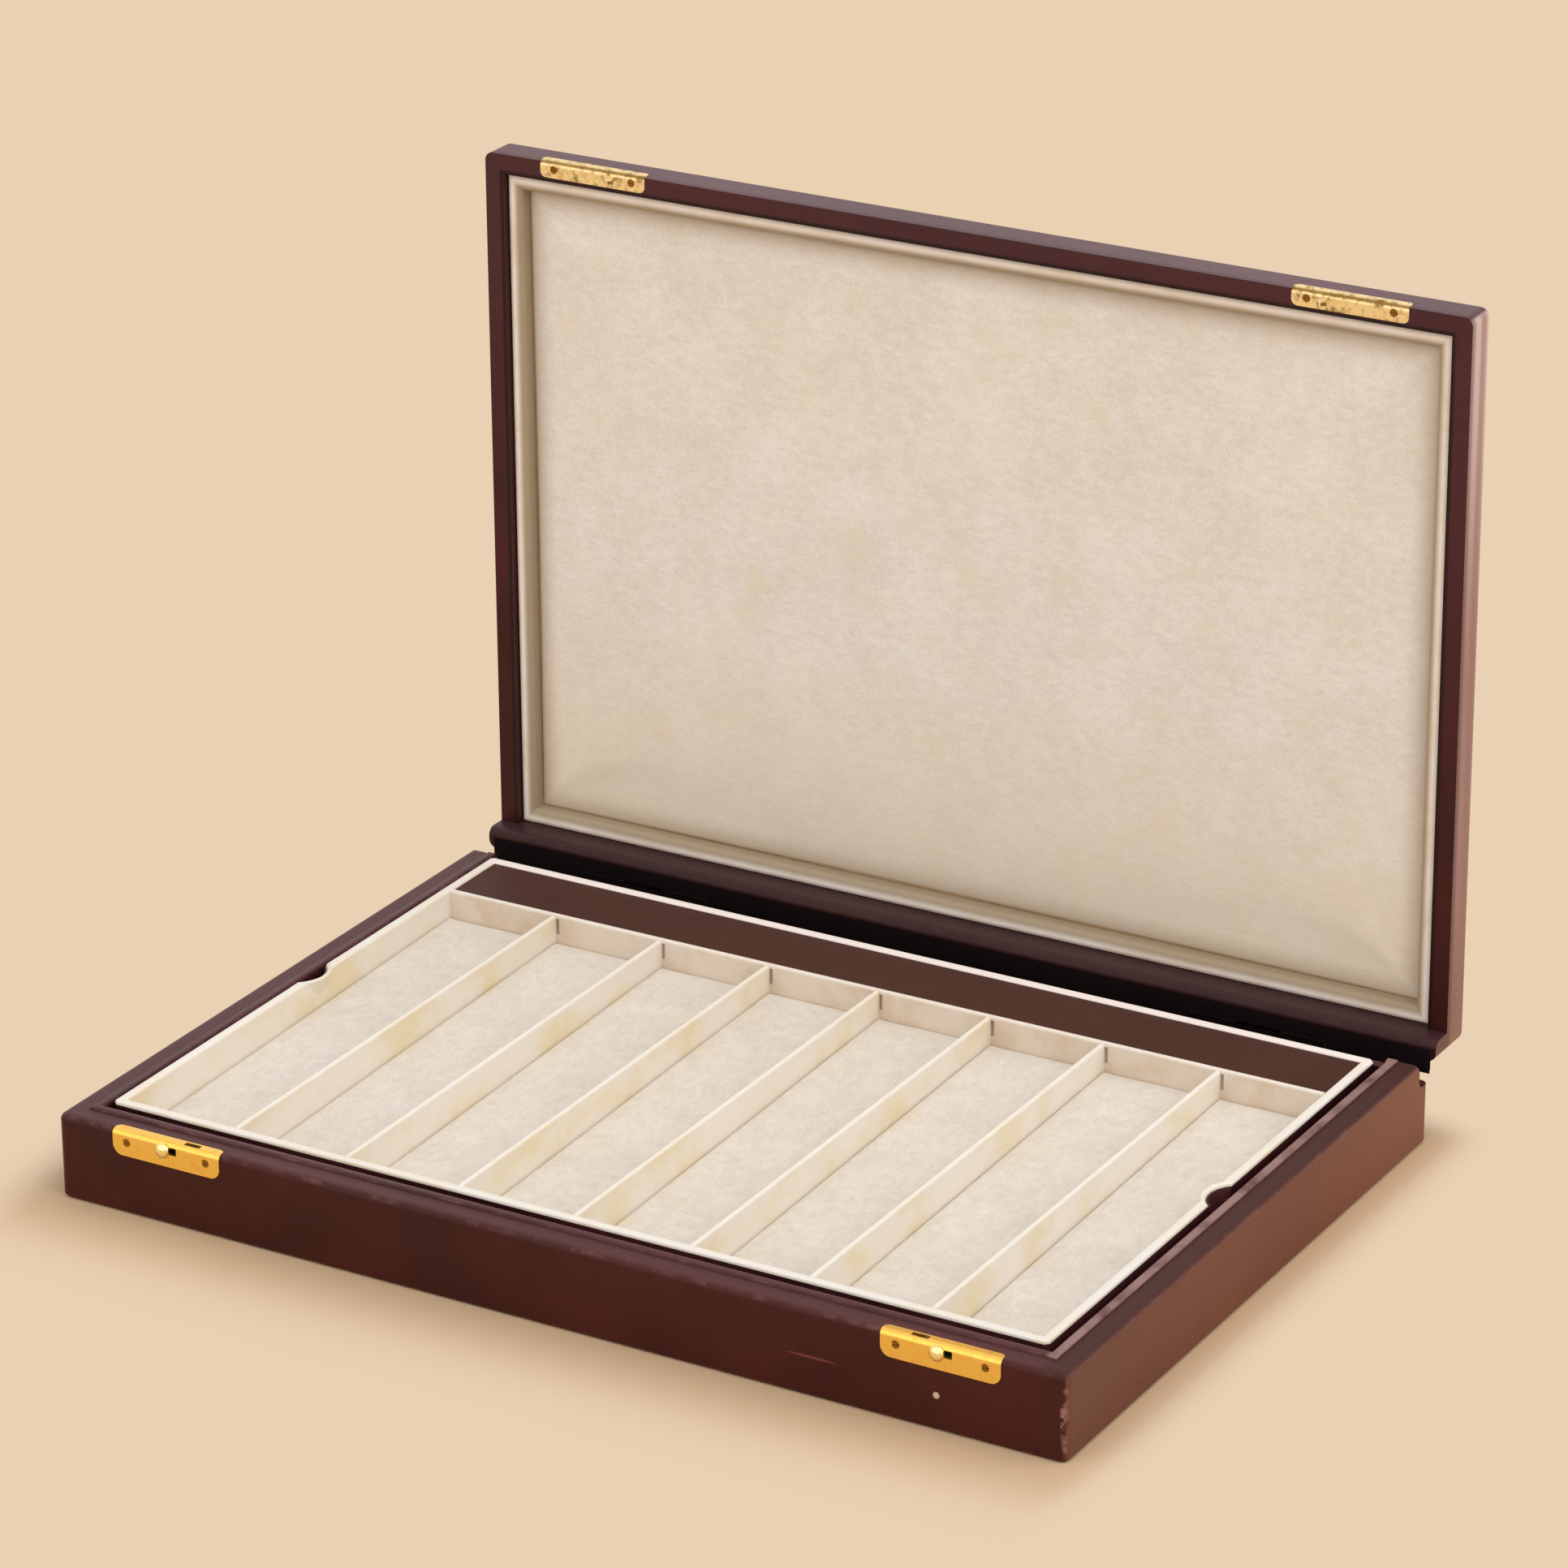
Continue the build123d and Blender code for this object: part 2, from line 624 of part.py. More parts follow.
inner_x = WELL_X - COLLAR_THICKNESS
inner_y = WELL_Y - COLLAR_THICKNESS
collar_top = BASE_HEIGHT + COLLAR_RISE
collar = rim(WELL_X, WELL_Y, COLLAR_THICKNESS, BOARD_TOP, collar_top)
collar = fillet(top_edges(collar), COLLAR_ROUND)
low_rear = block(-inner_x, inner_x, inner_y, WELL_Y, collar_top - COLLAR_REAR_DROP, collar_top)
nodes["base_collar"] = collar - low_rear
nodes["well_lining"] = block(-inner_x, inner_x, -inner_y, inner_y, BOARD_TOP, WELL_FLOOR)


# Lid, drawn shut: leather over a shallow carcase, with a deep rear wall that stands on the
# base's rear wall
def lid_block(inset):
    """The lid without its hollow, every outer face drawn in by inset, with the boards' corners
    cut off in the same way."""
    width = BOX_WIDTH - 2 * inset
    depth = BOX_DEPTH - 2 * inset
    bar_low = BAR_BOTTOM + inset
    bar_high = LID_BOTTOM + LEATHER + inset
    if inset:
        body = cut_slab(width, depth, LID_BOTTOM + inset, LID_TOP - inset, BOARD_CORNER)
        body = chamfer(top_edges(body), BOARD_ARRIS)
        bar = cut_slab(width, depth, bar_low, bar_high, BOARD_CORNER)
    else:
        body = slab(width, depth, LID_BOTTOM, LID_TOP, CORNER_RADIUS)
        body = fillet(top_edges(body), EDGE_RADIUS)
        bar = slab(width, depth, bar_low, bar_high, CORNER_RADIUS)
    bar = bar - block(-CLEAR, CLEAR, -CLEAR, BAR_INNER + inset, -CLEAR, CLEAR)
    inner_edge = bar.edges().filter_by(Axis.X).group_by(Axis.Y)[0].sort_by(Axis.Z)[0]
    bar = chamfer(inner_edge, BAR_BOARD_CUT) if inset else fillet(inner_edge, BAR_EDGE_RADIUS)
    return body + bar


def lid_hollow(inset):
    """The hollow of the lid up to its ceiling, every side wall drawn back by inset."""
    side = LID_INNER_X + inset
    return block(-side, side, LID_INNER_FRONT - inset, BAR_INNER + inset, -CLEAR, LID_CEILING)


lid_carcase = lid_block(LEATHER) - lid_hollow(LEATHER)
lid_cover = lid_block(0) - lid_hollow(0) - lid_carcase
catch_screws = []
for side, (centre, hook_x) in LATCHES.items():
    plate_room = catch_plate_block(centre)
    lid_cover = lid_cover - plate_room - catch_bend_edge(centre) - catch_hook(hook_x)
    lid_carcase = lid_carcase - plate_room - catch_hook(hook_x)
    for place in catch_screw_places(centre):
        lid_cover = lid_cover - place * screw_blank()
        lid_carcase = lid_carcase - place * screw_blank()
        catch_screws.append(screw(place))
    nodes["catch_plate_" + side] = swing_open(catch_plate(centre, hook_x))
    nodes["catch_hook_" + side] = swing_open(catch_hook(hook_x))

hinge_lid_screws = []
for side, centre in HINGES.items():
    low = BAR_BOTTOM + LEATHER
    high = low + LEAF_THICKNESS
    leaf_room = block(
        centre - HINGE_LENGTH / 2, centre + HINGE_LENGTH / 2, REAR - LEAF_INSET, CLEAR, low, high
    )
    lid_cover = lid_cover - leaf_room
    lid_carcase = lid_carcase - leaf_room
    leaf = hinge_leaf(centre, low, high, 1, HEEL_LID_START)
    for place in hinge_screw_places(centre, low, FACING_DOWN):
        lid_carcase = lid_carcase - place * screw_blank()
        leaf = leaf - place * screw_blank()
        hinge_lid_screws.append(screw(place))
    nodes["hinge_lid_leaf_" + side] = swing_open(leaf)

joint_top = BAR_BOTTOM + JOINT_THICKNESS
joint_strip = block(-JOINT_HALF, JOINT_HALF, JOINT_FRONT, JOINT_REAR, BAR_BOTTOM, joint_top)
for centre in HINGES.values():
    half_notch = HINGE_LENGTH / 2 + JOINT_NOTCH_GAP
    notch_front = HINGE_Y - KNUCKLE_RADIUS - JOINT_NOTCH_GAP
    joint_strip = joint_strip - block(
        centre - half_notch, centre + half_notch, notch_front, CLEAR, -CLEAR, CLEAR
    )
lid_cover = lid_cover - joint_strip
nodes["lid_joint_strip"] = swing_open(joint_strip)
nodes["lid_cover"] = swing_open(lid_cover)
nodes["lid_carcase"] = swing_open(lid_carcase)
nodes["catch_screws"] = swing_open(Compound(catch_screws))
nodes["hinge_lid_screws"] = swing_open(Compound(hinge_lid_screws))


# Soft pads: a crowned form whose sides pull in between its corners
def drawn_in_outline(x0, x1, y0, y1, inset, pull, height):
    """A level outline of four shallow arcs."""
    left = x0 + inset
    right = x1 - inset
    front = y0 + inset
    rear = y1 - inset
    middle_x = (left + right) / 2
    middle_y = (front + rear) / 2
    sides = [
        ThreePointArc((left, front, height), (middle_x, front + pull, height), (right, front, height)),
        ThreePointArc((right, front, height), (right - pull, middle_y, height), (right, rear, height)),
        ThreePointArc((right, rear, height), (middle_x, rear - pull, height), (left, rear, height)),
        ThreePointArc((left, rear, height), (left + pull, middle_y, height), (left, front, height)),
    ]
    return make_face(sides)


def pad(x0, x1, y0, y1, base, crown, pull):
    """A pad from its flat back at base to its crown, drawn in from its shoulder upwards."""
    rise = crown - base
    depth = abs(rise)
    shoulder_z = base + rise * PAD_SHOULDER
    back = drawn_in_outline(x0, x1, y0, y1, 0, pull, base)
    shoulder = drawn_in_outline(x0, x1, y0, y1, depth * PAD_SHOULDER_INSET, pull, shoulder_z)
    top = drawn_in_outline(x0, x1, y0, y1, depth * PAD_CROWN_INSET, pull, crown)
    return loft([back, shoulder, top], ruled=True)


lid_deck = LID_CEILING - LID_BACKING
lid_middle = (LID_INNER_FRONT + BAR_INNER) / 2
lid_depth = BAR_INNER - LID_INNER_FRONT
lid_frame = rim(LID_INNER_X, lid_depth / 2, FRAME_WIDTH, FRAME_CROWN, lid_deck)
lid_frame = Pos(0, lid_middle, 0) * fillet(bottom_edges(lid_frame), FRAME_ROUND)
nodes["lid_rim_frame"] = swing_open(lid_frame)
lid_board = block(-LID_INNER_X, LID_INNER_X, LID_INNER_FRONT, BAR_INNER, lid_deck, LID_CEILING)
nodes["lid_backing_board"] = swing_open(lid_board)
panel_x = LID_INNER_X - FRAME_WIDTH - PANEL_GAP
panel_half = lid_depth / 2 - FRAME_WIDTH - PANEL_GAP
panel_front = lid_middle - panel_half
panel_rear = lid_middle + panel_half
lid_panel = pad(-panel_x, panel_x, panel_front, panel_rear, lid_deck, PANEL_CROWN, PAD_PULL)
nodes["lid_panel"] = swing_open(lid_panel)


# Tray: a lined frame with eight compartments whose floor slopes down to the front, a leather
# ledge along the rear and a finger scoop in each side wall
def tray_slab(inset, z0, z1):
    """A level plate of the tray's outline with cut corners, every side drawn in by inset."""
    cut = TRAY_CORNER - inset * (2 - sqrt(2))
    plate = cut_slab(TRAY_WIDTH - 2 * inset, TRAY_DEPTH - 2 * inset, z0, z1, cut)
    return Pos(TRAY_SHIFT_X, TRAY_SHIFT_Y, 0) * plate


def scoop_cone(side, growth):
    """The cone that a scoop is cut from, grown sideways; side is -1 for left and 1 for right."""
    wall_x = TRAY_SHIFT_X + side * TRAY_WIDTH / 2
    axis_x = wall_x + side * (SCOOP_RADIUS - SCOOP_DEPTH)
    top = TRAY_TOP + TRAY_BAND_DROP
    taper = SCOOP_TAPER / (TRAY_TOP - SCOOP_FOOT)
    top_radius = SCOOP_RADIUS + growth + taper * TRAY_BAND_DROP
    foot_radius = SCOOP_RADIUS + growth - SCOOP_TAPER
    cone = Cone(foot_radius, top_radius, top - SCOOP_FOOT)
    return Pos(axis_x, SCOOP_Y, (top + SCOOP_FOOT) / 2) * cone


def scoop_insert(side):
    """The piece of side wall and rim that swells inwards behind the scoop."""
    wall_x = TRAY_SHIFT_X + side * TRAY_WIDTH / 2
    outer = wall_x - side * TRAY_BAND
    inner = wall_x - side * TRAY_WALL
    far = wall_x - side * 2 * SCOOP_RADIUS
    front = SCOOP_Y - SCOOP_HALF_LENGTH
    rear = SCOOP_Y + SCOOP_HALF_LENGTH
    rim_low = TRAY_TOP - TRAY_BAND_DROP
    wall = block(min(outer, inner), max(outer, inner), front, rear, SCOOP_FOOT, TRAY_TOP)
    lip = block(min(wall_x, inner), max(wall_x, inner), front, rear, rim_low, TRAY_TOP)
    swell_room = block(min(far, outer), max(far, outer), front, rear, SCOOP_FOOT, TRAY_TOP)
    swell = scoop_cone(side, SCOOP_SHELL) & swell_room
    insert = wall + lip + swell - scoop_cone(side, 0)
    end = SCOOP_HALF_LENGTH - SAME_PLACE
    rim_edges = [edge for edge in top_edges(insert) if abs(edge.center().Y - SCOOP_Y) < end]
    return chamfer(rim_edges, SCOOP_RIM_BEVEL)


rim_low = TRAY_TOP - TRAY_BAND_DROP
tray_end = TRAY_REAR - TRAY_WALL
tray_room = block(ROOM_LEFT, ROOM_RIGHT, ROOM_FRONT, tray_end, TRAY_BOARD_TOP, CLEAR)
tray_frame = tray_slab(TRAY_BAND, TRAY_BOARD_TOP, TRAY_TOP) + tray_slab(0, rim_low, TRAY_TOP) - tray_room
tray_frame = fillet(top_edges(tray_frame), TRAY_RIM_ROUND)
tray_band = tray_slab(0, TRAY_BOTTOM, rim_low) - tray_slab(TRAY_BAND, TRAY_BOTTOM, rim_low)
for name, side in (("left", -1), ("right", 1)):
    front = SCOOP_Y - SCOOP_HALF_LENGTH
    rear = SCOOP_Y + SCOOP_HALF_LENGTH
    wall_x = TRAY_SHIFT_X + side * TRAY_WIDTH / 2
    inner = wall_x - side * TRAY_WALL
    outer = wall_x + side * TRAY_BAND
    gap = block(min(inner, outer), max(inner, outer), front, rear, SCOOP_FOOT, CLEAR)
    tray_frame = tray_frame - gap
    nodes["tray_scoop_" + name] = scoop_insert(side)
    lining = scoop_cone(side, 0) - scoop_cone(side, -SCOOP_LINING)
    tray_band = tray_band - scoop_cone(side, 0)
    tray_band = tray_band + (lining & tray_slab(0, SCOOP_FOOT, rim_low))

nodes["tray_board"] = tray_slab(TRAY_BAND, TRAY_BOTTOM, TRAY_BOARD_TOP)
nodes["tray_frame"] = tray_frame
nodes["tray_outer_band"] = tray_band

floor_outline = [
    (ROOM_FRONT, TRAY_BOARD_TOP),
    (ROOM_FRONT + FLOOR_FOOT, TRAY_BOARD_TOP),
    (ROOM_FRONT + FLOOR_FOOT, FLOOR_FRONT_TOP - FLOOR_THICKNESS),
    (LEDGE_FRONT - FLOOR_FOOT, FLOOR_REAR_TOP - FLOOR_THICKNESS),
    (LEDGE_FRONT - FLOOR_FOOT, TRAY_BOARD_TOP),
    (LEDGE_FRONT, TRAY_BOARD_TOP),
    (LEDGE_FRONT, FLOOR_REAR_TOP),
    (ROOM_FRONT, FLOOR_FRONT_TOP),
]
nodes["tray_floor"] = prism_along_x(floor_outline, ROOM_LEFT, ROOM_RIGHT)

room_length = LEDGE_FRONT - ROOM_FRONT
floor_rise = FLOOR_REAR_TOP - FLOOR_FRONT_TOP
floor_slope = degrees(atan2(floor_rise, room_length))
floor_length = hypot(floor_rise, room_length)
divider_outline = [
    (ROOM_FRONT, FLOOR_FRONT_TOP),
    (LEDGE_FRONT, FLOOR_REAR_TOP),
    (LEDGE_FRONT, DIVIDER_TOP),
    (ROOM_FRONT, DIVIDER_TOP),
]
ledge_back = LEDGE_FRONT + LEDGE_WALL
ledge_wall = block(ROOM_LEFT, ROOM_RIGHT, LEDGE_FRONT, ledge_back, TRAY_BOARD_TOP, TRAY_TOP)
ledge_edges = ledge_wall.edges().filter_by(Axis.X).group_by(Axis.Z)[-1]
ledge_wall = fillet(ledge_edges, TRAY_RIM_ROUND)
room_left = ROOM_LEFT
for index in range(COMPARTMENTS):
    room_right = min(FIRST_DIVIDER + index * DIVIDER_PITCH, ROOM_RIGHT)
    pad_left = room_left + PAD_GAP
    pad_right = room_right - PAD_GAP
    flat_pad = pad(pad_left, pad_right, PAD_GAP, floor_length - PAD_GAP, 0, PAD_THICKNESS, PAD_PULL)
    sloped = Pos(0, ROOM_FRONT, FLOOR_FRONT_TOP) * Rot(floor_slope, 0, 0)
    nodes["tray_pad_" + str(index + 1)] = sloped * flat_pad
    if index < COMPARTMENTS - 1:
        divider = prism_along_x(divider_outline, room_right, room_right + DIVIDER)
        long_edges = divider.edges().filter_by(Axis.Y).group_by(Axis.Z)[-1]
        nodes["tray_divider_" + str(index + 1)] = fillet(long_edges, DIVIDER_ROUND)
        room_left = room_right + DIVIDER
        slit_end = room_left + SLIT_WIDTH
        ledge_wall = ledge_wall - block(
            room_left, slit_end, LEDGE_FRONT, LEDGE_FRONT + SLIT_REACH, SLIT_LOW, SLIT_HIGH
        )

nodes["tray_ledge_wall"] = ledge_wall
leather_top = TRAY_TOP - LEDGE_RECESS
leather_low = leather_top - LEDGE_LEATHER
board_low = leather_low - LEDGE_BOARD
nodes["tray_ledge_leather"] = block(ROOM_LEFT, ROOM_RIGHT, ledge_back, tray_end, leather_low, leather_top)
nodes["tray_ledge_board"] = block(ROOM_LEFT, ROOM_RIGHT, ledge_back, tray_end, board_low, leather_low)

os.makedirs("parts", exist_ok=True)
for name, shape in nodes.items():
    export_step(shape, "parts/" + name + ".step")
    print(name, len(shape.solids()), "solid(s)", round(shape.volume), "mm3")
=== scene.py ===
# %% [markdown]
# # A watch display tray in leather, suede and brass
# The case is a flat box covered in dark burgundy leather. Its lid stands open on two hinges,
# and a tray of eight suede compartments lies in it. The measured model already has every
# board, screw and spring in its place, so this lesson gives them their surfaces, makes the
# soft pads, the turned knobs and the black tapes, and sets up the light and the camera.

import bpy
import numpy as np
from mathutils import Matrix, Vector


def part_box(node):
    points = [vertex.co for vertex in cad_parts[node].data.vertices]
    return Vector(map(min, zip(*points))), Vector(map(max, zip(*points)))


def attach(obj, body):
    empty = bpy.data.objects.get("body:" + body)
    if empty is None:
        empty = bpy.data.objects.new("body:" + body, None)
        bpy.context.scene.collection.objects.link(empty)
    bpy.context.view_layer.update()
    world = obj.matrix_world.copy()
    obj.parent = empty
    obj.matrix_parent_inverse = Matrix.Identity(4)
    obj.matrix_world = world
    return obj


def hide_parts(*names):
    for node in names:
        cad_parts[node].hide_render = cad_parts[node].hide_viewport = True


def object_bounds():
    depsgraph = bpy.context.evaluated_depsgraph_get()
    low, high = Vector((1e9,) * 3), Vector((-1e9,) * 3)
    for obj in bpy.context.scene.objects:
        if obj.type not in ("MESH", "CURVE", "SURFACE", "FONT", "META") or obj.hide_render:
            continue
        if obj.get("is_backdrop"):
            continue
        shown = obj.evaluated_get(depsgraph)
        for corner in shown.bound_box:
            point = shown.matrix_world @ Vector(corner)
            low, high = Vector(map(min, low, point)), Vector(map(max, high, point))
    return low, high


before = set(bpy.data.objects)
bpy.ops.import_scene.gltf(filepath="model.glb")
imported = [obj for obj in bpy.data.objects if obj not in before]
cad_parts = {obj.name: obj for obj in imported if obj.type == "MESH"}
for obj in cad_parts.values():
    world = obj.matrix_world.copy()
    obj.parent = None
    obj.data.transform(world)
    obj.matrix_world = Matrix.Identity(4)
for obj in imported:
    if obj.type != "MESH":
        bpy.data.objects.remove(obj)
measured_box = [list(corner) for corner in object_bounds()]
MM = 0.001
print("nodes in the frame:", len(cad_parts))

# %% [markdown]
# ## The camera first
# A camera that stands where the photographer stood makes every later comparison simple.
# It looks at the middle of the object from the right and above, over two metres away,
# through a long lens that keeps the case's edges almost parallel. The direction is worked
# out from two angles, and a small roll levels the picture the way it was taken.

# %% The camera
AIM = np.array([1.37, 22.0, 129.05]) * MM
DISTANCE = 2085.5 * MM
TURN, RISE, ROLL = np.radians([30.22, 22.7, -0.38])
FOCAL_MM, SENSOR_MM = 147.99, 36.0


def camera_axes(turn, rise, roll):
    """Three unit vectors of a camera: to its right, up and back, from its turn round the
    object, its rise above the floor and its roll about the line of sight."""
    back = np.array([np.sin(turn) * np.cos(rise), -np.cos(turn) * np.cos(rise), np.sin(rise)])
    right = np.cross([0.0, 0.0, 1.0], back)
    right = right / np.linalg.norm(right)
    up = np.cross(back, right)
    rolled_right = np.cos(roll) * right + np.sin(roll) * up
    rolled_up = -np.sin(roll) * right + np.cos(roll) * up
    return rolled_right, rolled_up, back


axes = camera_axes(TURN, RISE, ROLL)
camera = bpy.data.objects.new("camera", bpy.data.cameras.new("camera"))
bpy.context.scene.collection.objects.link(camera)
placing = np.eye(4)
placing[:3, :3] = np.column_stack(axes)
placing[:3, 3] = AIM + axes[2] * DISTANCE
camera.matrix_world = Matrix(placing.tolist())
camera.data.lens = FOCAL_MM
camera.data.sensor_width = SENSOR_MM
camera.data.clip_end = 100.0
bpy.context.scene.camera = camera
print("camera stands at", np.round(placing[:3, 3], 3))

# %% [markdown]
# ## Writing shader sums as plain Python
# A material is a web of nodes, and wiring it by hand hides the idea behind it. This small
# class holds one output socket and turns `1 - mask` or `a * b` into Math nodes, so a finish
# reads like the sum that it is. Its one method for other nodes takes the kind, the inputs
# and the settings.

# %% A socket that can be added and multiplied
class Strand:
    """One output of a material's nodes. Sums written with it add Math nodes to that material."""

    def __init__(self, tree, socket=None):
        self.tree = tree
        self.socket = socket

    def node(self, kind, inputs=None, output=0, **settings):
        """Adds a node of a kind, sets its settings and fills its sockets."""
        made = self.tree.nodes.new("ShaderNode" + kind)
        for name, value in settings.items():
            setattr(made, name, value)
        for name, value in (inputs or {}).items():
            if isinstance(value, Strand):
                self.tree.links.new(value.socket, made.inputs[name])
            else:
                made.inputs[name].default_value = value
        return Strand(self.tree, made.outputs[output] if made.outputs else None)

    def sum_of(self, operation, first, second=0.0):
        """A Math node of one operation on two values."""
        return self.node("Math", {0: first, 1: second}, operation=operation)

    def __add__(self, other):
        return self.sum_of("ADD", self, other)

    def __sub__(self, other):
        return self.sum_of("SUBTRACT", self, other)

    def __rsub__(self, other):
        return self.sum_of("SUBTRACT", other, self)

    def __mul__(self, other):
        return self.sum_of("MULTIPLY", self, other)

    __radd__ = __add__
    __rmul__ = __mul__

    def size(self):
        """The value without its sign."""
        return self.sum_of("ABSOLUTE", self)

    def most(self, other):
        """The larger of two values."""
        return self.sum_of("MAXIMUM", self, other)

    def between(self, low, high):
        """0 below low, 1 above high, and a smooth rise between them; turned round where low is
        the larger."""
        inputs = {"Value": self, "From Min": low, "From Max": high}
        return self.node("MapRange", inputs, interpolation_type="SMOOTHSTEP")


def blend(mask, under, over):
    """Colour `under` where the mask is 0 and colour `over` where it is 1."""
    return mask.node("Mix", {"Factor": mask, 6: under, 7: over}, output=2, data_type="RGBA")


def colour(red, green, blue):
    """A colour given in 0 to 255 steps, as a painter mixes it, in the linear values of light."""
    steps = np.array([red, green, blue]) / 255.0
    linear = np.where(steps > 0.04045, ((steps + 0.055) / 1.055) ** 2.4, steps / 12.92)
    return (*linear.tolist(), 1.0)


print("burgundy in linear light:", np.round(colour(67, 33, 27), 3))

# %% [markdown]
# ## Places on the object
# Every finish below reads Object coordinates. They are in metres and move with the piece, so
# a grain keeps its true size and a scuff stays where it was put. The direction that a surface
# faces tells a flat wall, where one axis is 1, from a rounded edge, where none is.

# %% Starting a material, noise at a size in millimetres, and the rounded edges
def start(name):
    """A new empty material, and the first strand of its tree, the point on the object."""
    material = bpy.data.materials.new(name)
    material.use_nodes = True
    material.node_tree.nodes.clear()
    place = Strand(material.node_tree).node("TexCoord", output=3)
    return material, place


def noise(place, size_mm, detail=3.0, roughness=0.55, stretch=(1.0, 1.0, 1.0)):
    """Soft random values between 0 and 1, whose blobs are about size_mm wide."""
    stretched = place.node("VectorMath", {0: place, 1: stretch}, operation="MULTIPLY")
    inputs = {"Vector": stretched, "Scale": 1000.0 / size_mm,
              "Detail": detail, "Roughness": roughness}
    return place.node("TexNoise", inputs)


def near(place, x_mm, y_mm, z_mm, radius_mm, stretch=(1.0, 1.0, 1.0)):
    """1 at a point and 0 beyond a radius round it; a stretch above 1 narrows it along that axis."""
    centre = (x_mm * MM, y_mm * MM, z_mm * MM)
    away = place.node("VectorMath", {0: place, 1: centre}, operation="SUBTRACT")
    scaled = place.node("VectorMath", {0: away, 1: stretch}, operation="MULTIPLY")
    length = place.node("VectorMath", {0: scaled}, output=1, operation="LENGTH")
    return length.between(radius_mm * MM, 0.0)


def along(place, axis):
    """The place along one axis, in metres: 0 for x, 1 for y and 2 for z."""
    return place.node("SeparateXYZ", {0: place}, output=axis)


def facing(place, axis):
    """How far the surface looks along an axis: 1 along it, 0 square to it, -1 against it."""
    normal = place.node("TexCoord", output=1)
    return normal.node("SeparateXYZ", {0: normal}, output=axis)


FLAT, HALF_WAY_ROUND = 0.995, 0.78


def rounded_edges(place):
    """0 on flat faces square to the axes, rising to 1 half way round an edge between two."""
    parts = [facing(place, axis).size() for axis in range(3)]
    return parts[0].most(parts[1]).most(parts[2]).between(FLAT, HALF_WAY_ROUND)


def seen_directly(tree):
    """1 for rays that show a thing to the camera, straight, mirrored or through glass, and 0
    for rays that only light something."""
    kinds = ("Is Camera Ray", "Is Glossy Ray", "Is Transmission Ray")
    straight, mirrored, through = [tree.node("LightPath", output=kind) for kind in kinds]
    return straight.most(mirrored).most(through)


def finish(place, material, height=None, depth_mm=0.1, inputs=None, **fixed):
    """Closes a material: the surface shader with its varying inputs, a bump, and fixed values."""
    sockets = dict(inputs or {})
    sockets.update({name.replace("_", " "): value for name, value in fixed.items()})
    if height is not None:
        bump = {"Height": height, "Distance": depth_mm * MM, "Strength": 1.0}
        sockets["Normal"] = place.node("Bump", bump)
    shader = place.node("BsdfPrincipled", sockets)
    place.node("OutputMaterial", {"Surface": shader})
    print("finish ready:", material.name)
    return material


# %% [markdown]
# ## Burgundy leather
# The cover is thin calf leather, dyed a dark brownish red and polished. It has a fine pebble
# of under a millimetre, slow changes of tone from the dye, and it is rubbed pale where the
# rounded edges are handled. A Voronoi pattern gives the pebbles with their creases, noise
# gives the tone, and the edges come from the direction that the surface faces.

# %% The leather
HALF_WIDTH, HALF_DEPTH = 185.0 * MM, 128.0 * MM    # of the base
PEBBLES_PER_METRE = 1150.0
RUBBED_LEATHER = colour(138, 94, 84)


def outer_right(place):
    """1 on the outer faces that look to the right, where light and shade are painted into the
    colour.
    """
    across = along(place, 0).between(HALF_WIDTH - 1.8 * MM, HALF_WIDTH - 0.4 * MM)
    return facing(place, 0).between(0.5, 0.95) * across


def leather(name, deep, light, sheen_on_top, rub, gloss, lit_right_side=None, marks_and_painted_light=None):
    """Fine-grained leather: two tones of dye, a painted mauve sheen where it looks up, painted
    light on the outer faces to the right, paler where it is rubbed along the edges, with its own
    wear and painted light and shade, and a bump of pebbles. rub is how far the edges are worn,
    from 0 to 1, and gloss its polish."""
    material, place = start(name)
    wander = noise(place, 3.0, detail=2.0)
    bent = place.node("VectorMath", {0: place, 1: wander * (0.6 * MM)}, operation="ADD")
    pebble = place.node("TexVoronoi", {"Vector": bent, "Scale": PEBBLES_PER_METRE}, feature="F1")
    dye = noise(place, 60.0, detail=4.0, roughness=0.6)
    fine = noise(place, 2.2, detail=4.0)
    tone = blend(dye.between(0.35, 0.68), deep, light)
    # painted sheen: faces that look up are painted paler mauve
    tone = blend(facing(place, 2).between(0.6, 1.0) * (dye * 0.5 + 0.5), tone, sheen_on_top)
    # painted light: the outer faces to the right are painted lighter
    if lit_right_side:
        tone = blend(outer_right(place) * (dye * 0.35 + 0.65), tone, lit_right_side)
    tone = blend(pebble.between(0.25, 0.75) * 0.12, tone, deep)
    patches = noise(place, 9.0, detail=6.0, roughness=0.7).between(0.46, 0.68)
    rubbed = rounded_edges(place) * patches * rub
    tone = blend(rubbed, tone, RUBBED_LEATHER)
    # each cover's own wear, and its painted light and shade
    for mask, mark_colour in (marks_and_painted_light(place) if marks_and_painted_light else ()):
        tone = blend(mask, tone, mark_colour)
    height = pebble * -0.5 + fine * 0.6
    polish = (1.0 - gloss) + fine * 0.14 + rubbed * 0.2
    return finish(place, material, height, 0.06, {"Base Color": tone, "Roughness": polish},
                  Specular_IOR_Level=0.18)
